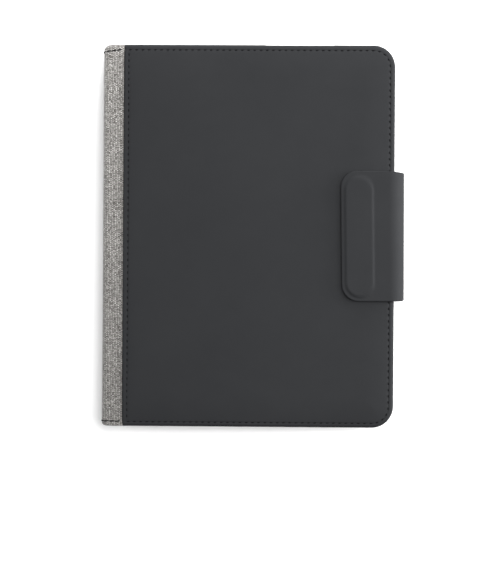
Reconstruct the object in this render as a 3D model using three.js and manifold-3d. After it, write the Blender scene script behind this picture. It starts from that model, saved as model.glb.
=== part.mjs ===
// A wireless charging notebook, closed: a padded case with a woven spine, a charger built into
// the front cover, a magnetic closing flap and a paper pad held in a sleeve.
// Millimetres. +X runs from the spine to the fore-edge, +Y to the head, +Z through the covers.
// The underside lies at Z = 0 and the origin is the middle of the whole footprint.
// In this file x is counted from the spine's outer face, and the whole object is moved at the end.

import * as THREE from 'three';
import { mergeVertices } from 'three/addons/utils/BufferGeometryUtils.js';
import Module from 'manifold-3d';

const wasm = await Module();
wasm.setup();

// Case, overall
const caseHeight = 230;
const cornerRadius = 13;
const foreRounding = 1.4;

// Sheets and boards of a cover, by thickness
const leatherette = 0.8;
const foamThickness = 1;
const boardThickness = 2;
const spacerThickness = 3.4;
const turnIn = 0.6;
const liningThickness = 0.5;

// Leatherette and lining edges inside a cover
const turnInWidth = 11;
const liningMargin = 3.5;

// Fabric of the spine and its two creases
const fabricThickness = 0.9;
const fabricSink = 0.7;
const fabricWidth = 12.3;
const fabricTuck = 0.4;
const tongueWidth = 4;
const creaseRadius = 3;
const boardStart = 4.3;
const spineBoardThickness = 1.8;

// Clearances: between separate pieces, and between plies glued together
const fit = 0.3;
const seat = 0.2;

// How far a cut runs past the faces that it opens
const overcut = 1;

// Pad and its sleeve
const padWidth = 148;
const padHeight = 210;
const padStart = 9;
const cardThickness = 0.7;
const sectionCount = 5;
const sectionThickness = 1.1;
const bindingWidth = 11;
const bindingThickness = 0.35;
const sleeveHeight = 125;
const sleeveThickness = 0.6;
const sleeveFoot = 3;

// Pen loop beside the pad
const penBore = 8;
const penLoopWall = 1;
const penLoopLength = 34;
const penLoopFoot = 28;
const penLoopRounding = 3;
const penLoopMargin = 4.9;

// Card pockets inside the front cover
const pocketCount = 3;
const pocketThickness = 0.45;
const pocketWidth = 104;
const pocketHeight = 30;
const pocketStep = 16;
const pocketMargin = 9;
const pocketStart = 40;

// Charging coil, under the middle of the front cover
const coilX = 84;
const coilOuter = 46;
const coilInner = 21;
const coilThickness = 1;
const ferriteDiameter = 50;
const ferriteThickness = 0.7;

// Battery cell and circuit board, in bays of the front cover
const cellWidth = 92;
const cellHeight = 74;
const cellThickness = 3;
const cellMargin = 10;
const circuitWidth = 58;
const circuitHeight = 24;
const circuitThickness = 1;
const circuitSetBack = 3;
const bayMargin = 1;
const controllerSide = 7;
const controllerThickness = 1.2;
const controllerSpacing = 18;
const controllerCount = 2;

// Charging socket, button and lights, in a bezel at the head of the front cover
const portX = 118;
const bezelWidth = 44;
const bezelHeight = 5.2;
const bezelThickness = 1.6;
const bezelSink = 0.6;
const socketWidth = 9;
const socketHeight = 3.2;
const socketDepth = 7.4;
const socketWall = 0.35;
const tongueBlade = 0.7;
const tongueSpan = 6.6;
const tongueSetBack = 0.8;
const buttonX = 133.5;
const buttonWidth = 7;
const buttonHeight = 2.6;
const buttonProud = 0.5;
const buttonTravel = 0.4;
const buttonFlange = 0.7;
const buttonStem = 1.2;
const switchWidth = 4.4;
const switchDepth = 2;
const lightX = 102.5;
const lightCount = 4;
const lightSpacing = 3.2;
const lightDiameter = 1.4;
const lightBar = 1.2;

// Closing flap
const flapHeight = 78;
const flapReach = 32.1;
const flapCorner = 10;
const bulge = 6.2;
const topBendRadius = 9.3;
const backBendRadius = 6.2;
const flapPly = 0.9;
const magnetPadWidth = 17.1;
const magnetPadInset = 2.8;
const magnetPadRise = 0.7;
const magnetPadSlope = 1.3;
const insertThickness = 0.8;
const magnetDiameter = 12;
const magnetSpacing = 40;
const catchThickness = 0.6;

// Steps of the rounded edges and corners
const cornerSteps = 8;
const edgeSteps = 2;
const bendSteps = 5;

// Levels, from the underside up
const foamDepth = leatherette + foamThickness;
const boardDepth = foamDepth + boardThickness;
const backThickness = boardDepth + turnIn;
const backLiningHead = backThickness + liningThickness;
const backCardFoot = backLiningHead + seat;
const backCardHead = backCardFoot + cardThickness;
const sleeveHead = backCardHead + seat + sleeveThickness;
const pagesFoot = sleeveHead + seat;
const pagesHead = pagesFoot + sectionCount * sectionThickness;
const padHead = pagesHead + cardThickness + bindingThickness;
const pocketsFoot = padHead + fit;
const frontLiningFoot = pocketsFoot + pocketCount * pocketThickness;
const frontFoot = frontLiningFoot + liningThickness;
const frontThickness = boardDepth + spacerThickness + turnIn;
const coverHead = frontFoot + frontThickness;
const flapFoot = coverHead + fit;
const flapHead = flapFoot + 2 * flapPly + seat;
const halfHeight = caseHeight / 2;

// Places across the case, from the spine to the fore-edge
const padEnd = padStart + padWidth;
const penLoopWidth = penBore + 2 * penLoopWall;
const penLoopStart = padEnd + 2 * fit + sleeveFoot;
const coverEnd = penLoopStart + penLoopWidth + penLoopMargin;

// The two covers: the level of the outer face and the way that it faces
const front = { face: coverHead, up: 1, thickness: frontThickness };
const back = { face: 0, up: -1, thickness: backThickness };

// One material for each finish
const finish = (color, roughness, metalness = 0) =>
  new THREE.MeshStandardMaterial({ color, roughness, metalness });
const charcoal = finish(0x3f4043, 0.62);
const charcoalLining = finish(0x35363a, 0.75);
const melange = finish(0x93918d, 0.95);
const greyboard = finish(0x8d8a84, 0.9);
const foam = finish(0x5a5a5c, 0.95);
const paper = finish(0xf1eee4, 0.9);
const card = finish(0x6b6762, 0.85);
const elastic = finish(0x2b2b2d, 0.9);
const blackPlastic = finish(0x1d1d1f, 0.5);
const clearPlastic = finish(0xe8ecef, 0.25);
const steel = finish(0xa7a9ab, 0.35, 0.9);
const copper = finish(0xb8743c, 0.35, 0.9);
const ferrite = finish(0x2a2a2b, 0.7);
const circuit = finish(0x1f4d35, 0.55);
const foil = finish(0x9fa3a8, 0.4, 0.7);

const object = new THREE.Group();
object.position.x = -(coverEnd + bulge) / 2;

// Puts a solid in the object as a named piece.
function addPiece(name, body, material) {
  const { vertProperties, triVerts } = body.getMesh();
  const geometry = new THREE.BufferGeometry();
  geometry.setAttribute('position', new THREE.BufferAttribute(vertProperties, 3));
  geometry.setIndex(new THREE.BufferAttribute(triVerts, 1));
  geometry.computeVertexNormals();
  const mesh = new THREE.Mesh(geometry, material.clone());
  mesh.name = name;
  object.add(mesh);
}

// Turns a closed geometry into a solid that can be joined and cut.
function solid(geometry) {
  geometry.deleteAttribute('normal');
  geometry.deleteAttribute('uv');
  const merged = mergeVertices(geometry);
  const vertProperties = new Float32Array(merged.attributes.position.array);
  const triVerts = new Uint32Array(merged.index.array);
  return new wasm.Manifold(new wasm.Mesh({ numProp: 3, vertProperties, triVerts }));
}

// A rectangle whose left and right corners have their own radii.
function panel(x0, x1, y0, y1, leftRadius = 0, rightRadius = leftRadius) {
  const shape = new THREE.Shape();
  const quarter = Math.PI / 2;
  const corner = (x, y, radius, turn) => {
    if (radius > 0) {
      shape.absarc(x, y, radius, turn * quarter, (turn + 1) * quarter, false);
    } else {
      shape.lineTo(x, y);
    }
  };
  shape.moveTo(x0 + leftRadius, y0);
  corner(x1 - rightRadius, y0 + rightRadius, rightRadius, 3);
  corner(x1 - rightRadius, y1 - rightRadius, rightRadius, 0);
  corner(x0 + leftRadius, y1 - leftRadius, leftRadius, 1);
  corner(x0 + leftRadius, y0 + leftRadius, leftRadius, 2);
  return shape;
}

const rectangle = (x, y, width, height, radius = 0) =>
  panel(x - width / 2, x + width / 2, y - height / 2, y + height / 2, radius);

function circle(x, y, diameter) {
  const shape = new THREE.Shape();
  shape.absarc(x, y, diameter / 2, 0, 2 * Math.PI, false);
  return shape;
}

// A plate cut from a plan shape, between two levels.
function plate(shape, z0, z1, steps = cornerSteps) {
  const depth = Math.abs(z1 - z0);
  const geometry = new THREE.ExtrudeGeometry(shape, { depth, bevelEnabled: false, curveSegments: steps });
  geometry.translate(0, 0, Math.min(z0, z1));
  return solid(geometry);
}

// The same with its upper and lower edges rounded off. The slope is how far the rounding reaches in.
function softPlate(shape, z0, z1, rounding, slope = rounding) {
  const geometry = new THREE.ExtrudeGeometry(shape, {
    depth: z1 - z0 - 2 * rounding,
    bevelThickness: rounding,
    bevelSize: slope,
    bevelOffset: -slope,
    bevelSegments: edgeSteps,
    curveSegments: cornerSteps,
  });
  geometry.translate(0, 0, z0 + rounding);
  return solid(geometry);
}

const block = (x0, x1, y0, y1, z0, z1) => plate(panel(x0, x1, y0, y1), z0, z1);

// A piece whose section in X and Z is drawn, and runs along Y between two ends.
function along(section, y0, y1, steps = cornerSteps) {
  const depth = y1 - y0;
  const geometry = new THREE.ExtrudeGeometry(section, { depth, bevelEnabled: false, curveSegments: steps });
  geometry.rotateX(Math.PI / 2);
  geometry.translate(0, y1, 0);
  return solid(geometry);
}

// Directions in X and Z, in degrees from +X towards +Z. A crease or bend that two bodies share
// is parted at its middle.
const foreAngle = 0;
const upAngle = 90;
const spineAngle = 180;
const downAngle = -90;
const middleAngle = 45;

// Points on an arc in X and Z, between two directions.
function arc(centre, radius, from, to) {
  const points = [];
  for (let step = 0; step <= bendSteps; step += 1) {
    const angle = THREE.MathUtils.degToRad(from + ((to - from) * step) / bendSteps);
    points.push([centre[0] + radius * Math.cos(angle), centre[1] + radius * Math.sin(angle)]);
  }
  return points;
}

// A sheet drawn by its outer and inner lines in X and Z, running along Y between two ends.
function bentSheet(outer, inner, y0, y1) {
  const outline = [...outer, ...inner.reverse()];
  return along(new THREE.Shape(outline.map(([x, z]) => new THREE.Vector2(x, z))), y0, y1);
}

// Half the seam between two bodies that share a bend of this radius, in degrees.
const halfSeam = (radius) => THREE.MathUtils.radToDeg(fit / 2 / radius);

// A layer of a cover, between two depths under its outer face.
const layer = (cover, shape, from, to) =>
  plate(shape, cover.face - cover.up * from, cover.face - cover.up * to);

const boardInset = leatherette + fit;
const fabricEnd = halfHeight - fabricTuck;
const boardEnd = fabricEnd - fabricThickness - fit;
const creaseInner = creaseRadius - fabricThickness;
const creaseSeam = halfSeam(creaseRadius);
const foamStart = fabricWidth + tongueWidth + fit;
const coverOpening = panel(
  fabricWidth - creaseRadius,
  coverEnd - turnInWidth,
  turnInWidth - halfHeight,
  halfHeight - turnInWidth,
);

// Plan of a cover's board, from a given left edge.
const boardShape = (left) =>
  panel(left, coverEnd - boardInset, -boardEnd, boardEnd, 0, cornerRadius - boardInset);

// Leatherette of a cover: the outer sheet, its edge wall and the rim turned in over the board.
function coverSkin(cover) {
  const past = fabricWidth - 2 * foreRounding;
  const outline = panel(past, coverEnd, -halfHeight, halfHeight, 0, cornerRadius);
  const inside = halfHeight - leatherette;
  const corner = cornerRadius - leatherette;
  const hollow = panel(past - overcut, coverEnd - leatherette, -inside, inside, 0, corner);
  const rounded = softPlate(
    outline,
    Math.min(cover.face, cover.face - cover.up * cover.thickness),
    Math.max(cover.face, cover.face - cover.up * cover.thickness),
    foreRounding,
  );
  const spine = panel(0, fabricWidth, -caseHeight, caseHeight);
  return rounded
    .subtract(layer(cover, hollow, leatherette, cover.thickness - turnIn))
    .subtract(layer(cover, coverOpening, leatherette, cover.thickness + overcut))
    .subtract(layer(cover, spine, -overcut, cover.thickness + overcut));
}

// Fabric of a cover: the strip beside the crease, its tongue under the leatherette and its two
// ends turned in over the board.
function coverFabric(cover, crease, from, to) {
  const end = fabricWidth - seat;
  const inside = fabricSink + fabricThickness;
  const level = (depth) => cover.face - cover.up * depth;
  const outer = [...arc(crease, creaseRadius, from, to), [end, level(fabricSink)]];
  const inner = [...arc(crease, creaseInner, from, to), [end, level(inside)]];
  const tongue = panel(creaseRadius, end + tongueWidth, -boardEnd, boardEnd);
  let body = bentSheet(outer, inner, -fabricEnd, fabricEnd);
  body = body.add(layer(cover, tongue, leatherette + seat, inside));
  for (const side of [-1, 1]) {
    const wall = rectangle(
      (boardStart + end) / 2,
      side * (fabricEnd - fabricThickness / 2),
      end - boardStart,
      fabricThickness,
    );
    const rim = rectangle(
      (boardStart + end) / 2,
      side * (fabricEnd - turnInWidth / 2),
      end - boardStart,
      turnInWidth,
    );
    body = body.add(layer(cover, wall, fabricSink, cover.thickness));
    body = body.add(layer(cover, rim, cover.thickness - turnIn, cover.thickness));
  }
  return body;
}

// Lining of a cover: a sheet over the turned-in rims, thicker in the middle to meet the board.
function coverLining(cover) {
  const left = boardStart + seat;
  const margin = halfHeight - liningMargin;
  const corner = cornerRadius - liningMargin;
  const sheet = panel(left, coverEnd - liningMargin, -margin, margin, 0, corner);
  const plugEnd = halfHeight - turnInWidth - fabricTuck - fit;
  const plug = panel(left, coverEnd - turnInWidth - fit, -plugEnd, plugEnd);
  return layer(cover, sheet, cover.thickness, cover.thickness + liningThickness).add(
    layer(cover, plug, cover.thickness - turnIn, cover.thickness),
  );
}

// Creases of the spine: the middle of the fabric's two rounded corners.
const backCrease = [creaseRadius, fabricSink + creaseRadius];
const frontCrease = [creaseRadius, coverHead - fabricSink - creaseRadius];

// Bends of the flap.
const backBend = [coverEnd + bulge - backBendRadius, backBendRadius];
const topBend = [coverEnd + bulge - topBendRadius, flapHead - topBendRadius];

// Plan of the magnet pad, at some distance inside its edge.
const magnetPadX = coverEnd - flapReach + magnetPadInset + magnetPadWidth / 2;
function magnetPadShape(inset) {
  const width = magnetPadWidth - 2 * inset;
  const height = flapHeight - 2 * (magnetPadInset + inset);
  return rectangle(magnetPadX, 0, width, height, width / 2);
}

function addBackCover() {
  addPiece('back_skin', coverSkin(back), charcoal);
  addPiece('back_padding', layer(back, boardShape(foamStart), leatherette, foamDepth), foam);
  addPiece('back_board', layer(back, boardShape(boardStart), foamDepth, boardDepth), greyboard);
  addPiece('back_lining', coverLining(back), charcoalLining);
  const fabric = coverFabric(back, backCrease, downAngle - middleAngle + creaseSeam, downAngle);
  addPiece('back_fabric', fabric, melange);
}

// The sleeve's face covers the pad's back card and its two feet stand on the lining. It is open
// at the head and towards the spine.
function addPadSleeve() {
  const x0 = padStart + bindingWidth + fit;
  const x1 = padEnd + fit;
  const y0 = -padHeight / 2 - fit;
  const y1 = y0 + sleeveHeight;
  const outerX = x1 + sleeveFoot;
  const outerY = y0 - sleeveFoot;
  const face = block(x0, outerX, outerY, y1, sleeveHead - sleeveThickness, sleeveHead);
  const sideFoot = block(x1, outerX, outerY, y1, backLiningHead, sleeveHead);
  const tailFoot = block(x0, outerX, outerY, y0, backLiningHead, sleeveHead);
  addPiece('pad_sleeve', face.add(sideFoot).add(tailFoot), charcoalLining);
}

function addPenLoop() {
  const x = penLoopStart + penLoopWidth / 2;
  const z = backLiningHead + penLoopWidth / 2;
  const section = rectangle(x, z, penLoopWidth, penLoopWidth, penLoopRounding);
  section.holes.push(rectangle(x, z, penBore, penBore, penLoopRounding - penLoopWall));
  const loop = along(section, penLoopFoot, penLoopFoot + penLoopLength, bendSteps);
  addPiece('pen_loop', loop, elastic);
}

// One ply of the flap between two angles of the back bend, or of the top bend. The outer ply is
// at depth 0 and the inner one under it.
const plies = [
  { name: 'skin', depth: 0, material: charcoal },
  { name: 'lining', depth: flapPly + seat, material: charcoalLining },
];

function flapArc(bend, radius, ply, from, to) {
  const outer = arc(bend, radius - ply.depth, from, to);
  const inner = arc(bend, radius - ply.depth - flapPly, from, to);
  return { outer, inner };
}

function addFlap() {
  const end = flapHeight / 2;
  const backSeam = halfSeam(backBendRadius);
  const topSeam = halfSeam(topBendRadius);
  for (const ply of plies) {
    const root = flapArc(backBend, backBendRadius, ply, downAngle, -middleAngle - backSeam);
    addPiece(`flap_root_${ply.name}`, bentSheet(root.outer, root.inner, -end, end), ply.material);

    const low = flapArc(backBend, backBendRadius, ply, -middleAngle + backSeam, foreAngle);
    const high = flapArc(topBend, topBendRadius, ply, foreAngle, middleAngle - topSeam);
    const outer = [...low.outer, ...high.outer];
    const inner = [...low.inner, ...high.inner];
    addPiece(`flap_wall_${ply.name}`, bentSheet(outer, inner, -end, end), ply.material);

    const head = flapHead - ply.depth;
    const left = coverEnd - flapReach;
    const bend = flapArc(topBend, topBendRadius, ply, middleAngle + topSeam, upAngle);
    let tip = plate(panel(left, topBend[0], -end, end, flapCorner, 0), head - flapPly, head);
    tip = tip.add(bentSheet(bend.outer, bend.inner, -end, end));
    if (ply.depth === 0) {
      const raised = flapHead + magnetPadRise;
      const foot = flapHead - magnetPadRise;
      tip = tip.add(softPlate(magnetPadShape(0), foot, raised, magnetPadRise, magnetPadSlope));
      tip = tip.subtract(
        plate(magnetPadShape(magnetPadSlope), flapHead - 2 * flapPly, raised - flapPly),
      );
    }
    addPiece(`flap_tip_${ply.name}`, tip, ply.material);
  }
}

// The stiff insert inside the magnet pad, with the two magnets in its holes, and the steel plate
// under the cover's leatherette that they hold to.
function addMagnets() {
  const foot = flapFoot + flapPly;
  let insert = plate(magnetPadShape(magnetPadSlope + fit), foot, foot + insertThickness);
  for (const [index, side] of [-1, 1].entries()) {
    const y = (side * magnetSpacing) / 2;
    const hole = circle(magnetPadX, y, magnetDiameter + fit);
    insert = insert.subtract(plate(hole, foot - overcut, foot + insertThickness + overcut));
    const magnet = plate(circle(magnetPadX, y, magnetDiameter), foot, foot + insertThickness);
    addPiece(`flap_magnet_${index + 1}`, magnet, steel);
  }
  addPiece('flap_insert', insert, blackPlastic);
  const catchPlate = plate(magnetPadShape(0), catchFoot, catchFoot + catchThickness);
  addPiece('catch_plate', catchPlate, steel);
}

function addSpine() {
  const frontTurn = [spineAngle - middleAngle + creaseSeam, spineAngle];
  const backTurn = [spineAngle, spineAngle + middleAngle - creaseSeam];
  const outer = [
    ...arc(frontCrease, creaseRadius, ...frontTurn),
    ...arc(backCrease, creaseRadius, ...backTurn),
  ];
  const inner = [
    ...arc(frontCrease, creaseInner, ...frontTurn),
    ...arc(backCrease, creaseInner, ...backTurn),
  ];
  addPiece('spine_fabric', bentSheet(outer, inner, -fabricEnd, fabricEnd), melange);
  const boardFrom = fabricThickness + seat;
  const boardTo = boardFrom + spineBoardThickness;
  const board = block(boardFrom, boardTo, -boardEnd, boardEnd, backCrease[1], frontCrease[1]);
  addPiece('spine_board', board, greyboard);
  const liningTo = boardTo + liningThickness;
  const end = halfHeight - liningMargin;
  const lining = block(boardTo, liningTo, -end, end, backCrease[1], frontLiningFoot);
  addPiece('spine_lining', lining, charcoalLining);
}

// Levels inside the front cover, from its rim up.
const spacerFoot = frontFoot + turnIn;
const boardFoot = spacerFoot + spacerThickness;
const foamFoot = boardFoot + boardThickness;
const bezelZ = spacerFoot + bezelHeight / 2;
const bezelFace = halfHeight - bezelSink;
const bezelBack = bezelFace - bezelThickness;
const socketFoot = bezelZ - socketHeight / 2;
const circuitHead = bezelBack - circuitSetBack;
const circuitY = circuitHead - circuitHeight / 2;
const cellY = cellMargin + cellHeight / 2 - halfHeight;
const catchFoot = coverHead - leatherette - catchThickness;

// A shape with rounded ends in the plane of the bezel.
const slotShape = (x, width, height) => rectangle(x, bezelZ, width, height, height / 2 - seat);

function addFrontCover() {
  const bezelHole = slotShape(portX, bezelWidth + seat, bezelHeight + seat);
  const cut = along(bezelHole, halfHeight - cornerRadius, halfHeight + overcut);
  addPiece('front_skin', coverSkin(front).subtract(cut), charcoal);
  const catchRoom = plate(magnetPadShape(-fit), catchFoot - seat, coverHead);
  const padding = layer(front, boardShape(foamStart), leatherette, foamDepth);
  addPiece('front_padding', padding.subtract(catchRoom), foam);

  // The bay for the circuit board goes through both boards and out at the head.
  const bayY0 = circuitY - circuitHeight / 2 - bayMargin;
  const bayWidth = circuitWidth + 2 * bayMargin;
  const bay = rectangle(portX, (bayY0 + halfHeight) / 2, bayWidth, halfHeight - bayY0);
  const coilHole = circle(coilX, 0, ferriteDiameter + 2 * fit);
  const cellBay = rectangle(coilX, cellY, cellWidth + 2 * bayMargin, cellHeight + 2 * bayMargin);
  const board = plate(boardShape(boardStart), boardFoot, foamFoot)
    .subtract(plate(coilHole, boardFoot - overcut, foamFoot + overcut))
    .subtract(plate(bay, boardFoot - overcut, foamFoot + overcut));
  addPiece('front_board', board, greyboard);
  const spacer = plate(boardShape(boardStart), spacerFoot, boardFoot)
    .subtract(plate(cellBay, spacerFoot - overcut, boardFoot + overcut))
    .subtract(plate(bay, spacerFoot - overcut, boardFoot + overcut));
  addPiece('front_spacer', spacer, foam);
  addPiece('front_lining', coverLining(front), charcoalLining);
  const fabric = coverFabric(front, frontCrease, upAngle + middleAngle - creaseSeam, upAngle);
  addPiece('front_fabric', fabric, melange);
}

function addCardPockets() {
  const foot = pocketMargin - halfHeight;
  for (let index = 0; index < pocketCount; index += 1) {
    const top = frontLiningFoot - index * pocketThickness;
    const height = pocketHeight + (pocketCount - 1 - index) * pocketStep;
    const shape = panel(pocketStart, pocketStart + pocketWidth, foot, foot + height);
    addPiece(`card_pocket_${index + 1}`, plate(shape, top - pocketThickness, top), charcoalLining);
  }
}

function addCharger() {
  const coilFoot = boardFoot + ferriteThickness;
  const sheet = plate(circle(coilX, 0, ferriteDiameter), boardFoot, coilFoot);
  addPiece('ferrite_sheet', sheet, ferrite);
  const ring = circle(coilX, 0, coilOuter);
  ring.holes.push(circle(coilX, 0, coilInner));
  addPiece('charging_coil', plate(ring, coilFoot, coilFoot + coilThickness), copper);
  const cell = rectangle(coilX, cellY, cellWidth, cellHeight, cellThickness);
  addPiece('battery_cell', plate(cell, spacerFoot, spacerFoot + cellThickness), foil);

  const board = rectangle(portX, circuitY, circuitWidth, circuitHeight);
  addPiece('circuit_board', plate(board, socketFoot - circuitThickness, socketFoot), circuit);
  for (let index = 0; index < controllerCount; index += 1) {
    const x = portX + (index - (controllerCount - 1) / 2) * controllerSpacing;
    const y = circuitY - circuitHeight / 2 + controllerSide;
    const chip = rectangle(x, y, controllerSide, controllerSide);
    const body = plate(chip, socketFoot, socketFoot + controllerThickness);
    addPiece(`controller_${index + 1}`, body, blackPlastic);
  }
}

// The socket stands on the circuit board's edge, with its mouth in the bezel.
function addSocketAndBezel() {
  const mouth = bezelFace - seat;
  const rear = mouth - socketDepth;
  const outer = slotShape(portX, socketWidth, socketHeight);
  const bore = slotShape(portX, socketWidth - 2 * socketWall, socketHeight - 2 * socketWall);
  const shell = along(outer, rear, mouth).subtract(along(bore, rear + socketWall, mouth + overcut));
  addPiece('socket_shell', shell, steel);
  const blade = rectangle(portX, bezelZ, tongueSpan, tongueBlade);
  const tongue = along(blade, rear + socketWall, mouth - tongueSetBack);
  addPiece('socket_tongue', tongue, blackPlastic);

  const through = (shape) => along(shape, bezelBack - overcut, bezelFace + overcut);
  let bezel = along(slotShape(portX, bezelWidth, bezelHeight), bezelBack, bezelFace);
  bezel = bezel.subtract(through(slotShape(portX, socketWidth + seat, socketHeight + seat)));
  bezel = bezel.subtract(through(slotShape(buttonX, buttonWidth + fit, buttonHeight + fit)));
  const barWidth = (lightCount - 1) * lightSpacing + lightDiameter + seat;
  let lights = along(
    rectangle(lightX, bezelZ, barWidth, lightDiameter + seat),
    bezelBack - seat - lightBar,
    bezelBack - seat,
    bendSteps,
  );
  for (let index = 0; index < lightCount; index += 1) {
    const x = lightX + (index - (lightCount - 1) / 2) * lightSpacing;
    bezel = bezel.subtract(through(circle(x, bezelZ, lightDiameter + seat)));
    const pipe = along(circle(x, bezelZ, lightDiameter), bezelBack - seat - lightBar / 2, bezelFace);
    lights = lights.add(pipe);
  }
  addPiece('port_bezel', bezel, blackPlastic);
  addPiece('light_pipes', lights, clearPlastic);
}

// The button's cap goes through the bezel, its flange stays behind it and its stem meets the switch.
function addButton() {
  const face = bezelFace + buttonProud;
  const flangeFront = bezelBack - seat;
  const flangeBack = flangeFront - buttonFlange;
  const stemEnd = flangeBack - buttonStem;
  const cap = slotShape(buttonX, buttonWidth, buttonHeight);
  const flange = rectangle(buttonX, bezelZ, buttonWidth + 2 * fit, buttonHeight + 2 * fit);
  const stem = rectangle(buttonX, bezelZ, buttonStem, buttonStem);
  const button = along(cap, flangeBack, face)
    .add(along(flange, flangeBack, flangeFront))
    .add(along(stem, stemEnd, flangeBack));
  addPiece('power_button', button, blackPlastic);
  const switchFront = stemEnd - buttonTravel - seat;
  const body = rectangle(buttonX, switchFront - switchDepth / 2, switchWidth, switchDepth);
  addPiece('button_switch', plate(body, socketFoot, socketFoot + socketHeight), blackPlastic);
}

function addPad() {
  const end = padHeight / 2;
  const sheet = (z0, z1) => block(padStart, padEnd, -end, end, z0, z1);
  addPiece('pad_back_card', sheet(backCardFoot, backCardHead), card);
  for (let index = 0; index < sectionCount; index += 1) {
    const foot = pagesFoot + index * sectionThickness;
    addPiece(`page_section_${index + 1}`, sheet(foot, foot + sectionThickness), paper);
  }
  addPiece('pad_front_card', sheet(pagesHead, pagesHead + cardThickness), card);
  const cover = pagesHead + cardThickness;
  const wall = block(padStart - bindingThickness, padStart, -end, end, backCardFoot, padHead);
  const fold = block(padStart, padStart + bindingWidth, -end, end, cover, padHead);
  addPiece('pad_binding', wall.add(fold), elastic);
}

addBackCover();
addPadSleeve();
addPenLoop();
addPad();
addSpine();
addFrontCover();
addCardPockets();
addCharger();
addSocketAndBezel();
addButton();
addMagnets();
addFlap();

export default object;
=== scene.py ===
import math
import random

import bmesh
import bpy
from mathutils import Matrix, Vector, noise


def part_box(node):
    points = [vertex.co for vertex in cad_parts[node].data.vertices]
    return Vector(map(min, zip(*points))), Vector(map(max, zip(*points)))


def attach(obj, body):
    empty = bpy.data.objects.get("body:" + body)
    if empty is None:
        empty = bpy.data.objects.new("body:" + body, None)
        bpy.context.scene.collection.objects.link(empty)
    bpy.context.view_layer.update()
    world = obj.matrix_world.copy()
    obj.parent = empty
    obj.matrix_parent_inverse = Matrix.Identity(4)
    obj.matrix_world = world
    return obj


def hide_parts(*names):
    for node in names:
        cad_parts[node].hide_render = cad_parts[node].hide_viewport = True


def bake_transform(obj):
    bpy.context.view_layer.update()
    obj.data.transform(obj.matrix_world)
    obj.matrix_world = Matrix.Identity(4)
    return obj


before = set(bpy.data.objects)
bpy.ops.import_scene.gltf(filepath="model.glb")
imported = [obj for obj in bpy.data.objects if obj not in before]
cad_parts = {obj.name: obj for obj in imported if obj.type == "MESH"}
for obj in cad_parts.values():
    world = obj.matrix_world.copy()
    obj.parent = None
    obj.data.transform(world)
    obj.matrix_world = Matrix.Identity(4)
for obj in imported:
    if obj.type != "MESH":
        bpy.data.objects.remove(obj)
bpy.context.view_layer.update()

# The table and the light. The closed notebook lies on a white table and is seen
# straight from above. One soft lamp hangs over it and a very large one stands at its
# right, with low lamps beside and behind it, and the room gives some light from every side.
table_white = (0.80, 0.80, 0.80, 1.0)
table_glow = 0.21
table_half = 1.6
table_level = -0.00006
room_white = (1.0, 1.0, 1.0, 1.0)
room_light = 0.24
camera_place = (0.0107, -0.0343, 0.823)
camera_lean = math.radians(0.9)
camera_turn = math.radians(0.37)
camera_sensor = 36.0
camera_lens = 81.85
lamps = [
    # name, place, size, watts
    ("ceiling_lamp", (0.22, 0.10, 0.95), 0.50, 9.0),
    ("window_lamp", (0.85, 0.12, 0.52), 1.10, 12.1),
    ("right_lamp", (0.85, 0.05, 0.14), 0.30, 9.5),
    ("far_lamp", (0.05, 0.62, 0.16), 0.30, 5.3),
    ("near_lamp", (0.0, 0.34, 0.42), 0.45, 0.42),
    ("left_lamp", (-0.60, 0.0, 0.10), 0.30, 1.7),
]

camera_data = bpy.data.cameras.new("camera")
camera_data.sensor_width = camera_sensor
camera_data.lens = camera_lens
camera = bpy.data.objects.new("camera", camera_data)
camera.location = camera_place
camera.rotation_euler = (0.0, camera_lean, camera_turn)
bpy.context.scene.collection.objects.link(camera)
bpy.context.scene.camera = camera
bpy.context.scene.view_settings.view_transform = "Standard"

for lamp_name, place, size, watts in lamps:
    lamp_data = bpy.data.lights.new(lamp_name, "AREA")
    lamp_data.shape = "DISK"
    lamp_data.size = size
    lamp_data.energy = watts
    lamp = bpy.data.objects.new(lamp_name, lamp_data)
    lamp.location = place
    lamp.rotation_euler = (-Vector(place)).to_track_quat("-Z", "Y").to_euler()
    bpy.context.scene.collection.objects.link(lamp)


def seen_directly(nodes, links):
    """1 for what the camera sees itself, in a mirror or through glass."""
    path = nodes.new("ShaderNodeLightPath")
    seen = path.outputs["Is Camera Ray"]
    for also in ("Is Glossy Ray", "Is Transmission Ray"):
        either = nodes.new("ShaderNodeMath")
        either.operation = "MAXIMUM"
        links.new(seen, either.inputs[0])
        links.new(path.outputs[also], either.inputs[1])
        seen = either.outputs[0]
    return seen


room = bpy.data.worlds.new("room")
room.use_nodes = True
bpy.context.scene.world = room
nodes, links = room.node_tree.nodes, room.node_tree.links
room_strength = nodes.new("ShaderNodeMix")
room_strength.inputs["A"].default_value = room_light
room_strength.inputs["B"].default_value = 1.0
links.new(seen_directly(nodes, links), room_strength.inputs["Factor"])
links.new(room_strength.outputs["Result"], nodes["Background"].inputs["Strength"])
nodes["Background"].inputs["Color"].default_value = room_white

table_mesh = bpy.data.meshes.new("table")
table_mesh.from_pydata(
    [(x * table_half, y * table_half, table_level)
     for x, y in ((-1, -1), (1, -1), (1, 1), (-1, 1))],
    [],
    [(0, 1, 2, 3)],
)
table = bpy.data.objects.new("table", table_mesh)
bpy.context.scene.collection.objects.link(table)


def new_finish(name):
    """A new material, with its nodes, its links and its shader."""
    finish = bpy.data.materials.new(name)
    finish.use_nodes = True
    nodes, links = finish.node_tree.nodes, finish.node_tree.links
    return finish, nodes, links, nodes["Principled BSDF"]


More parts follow.
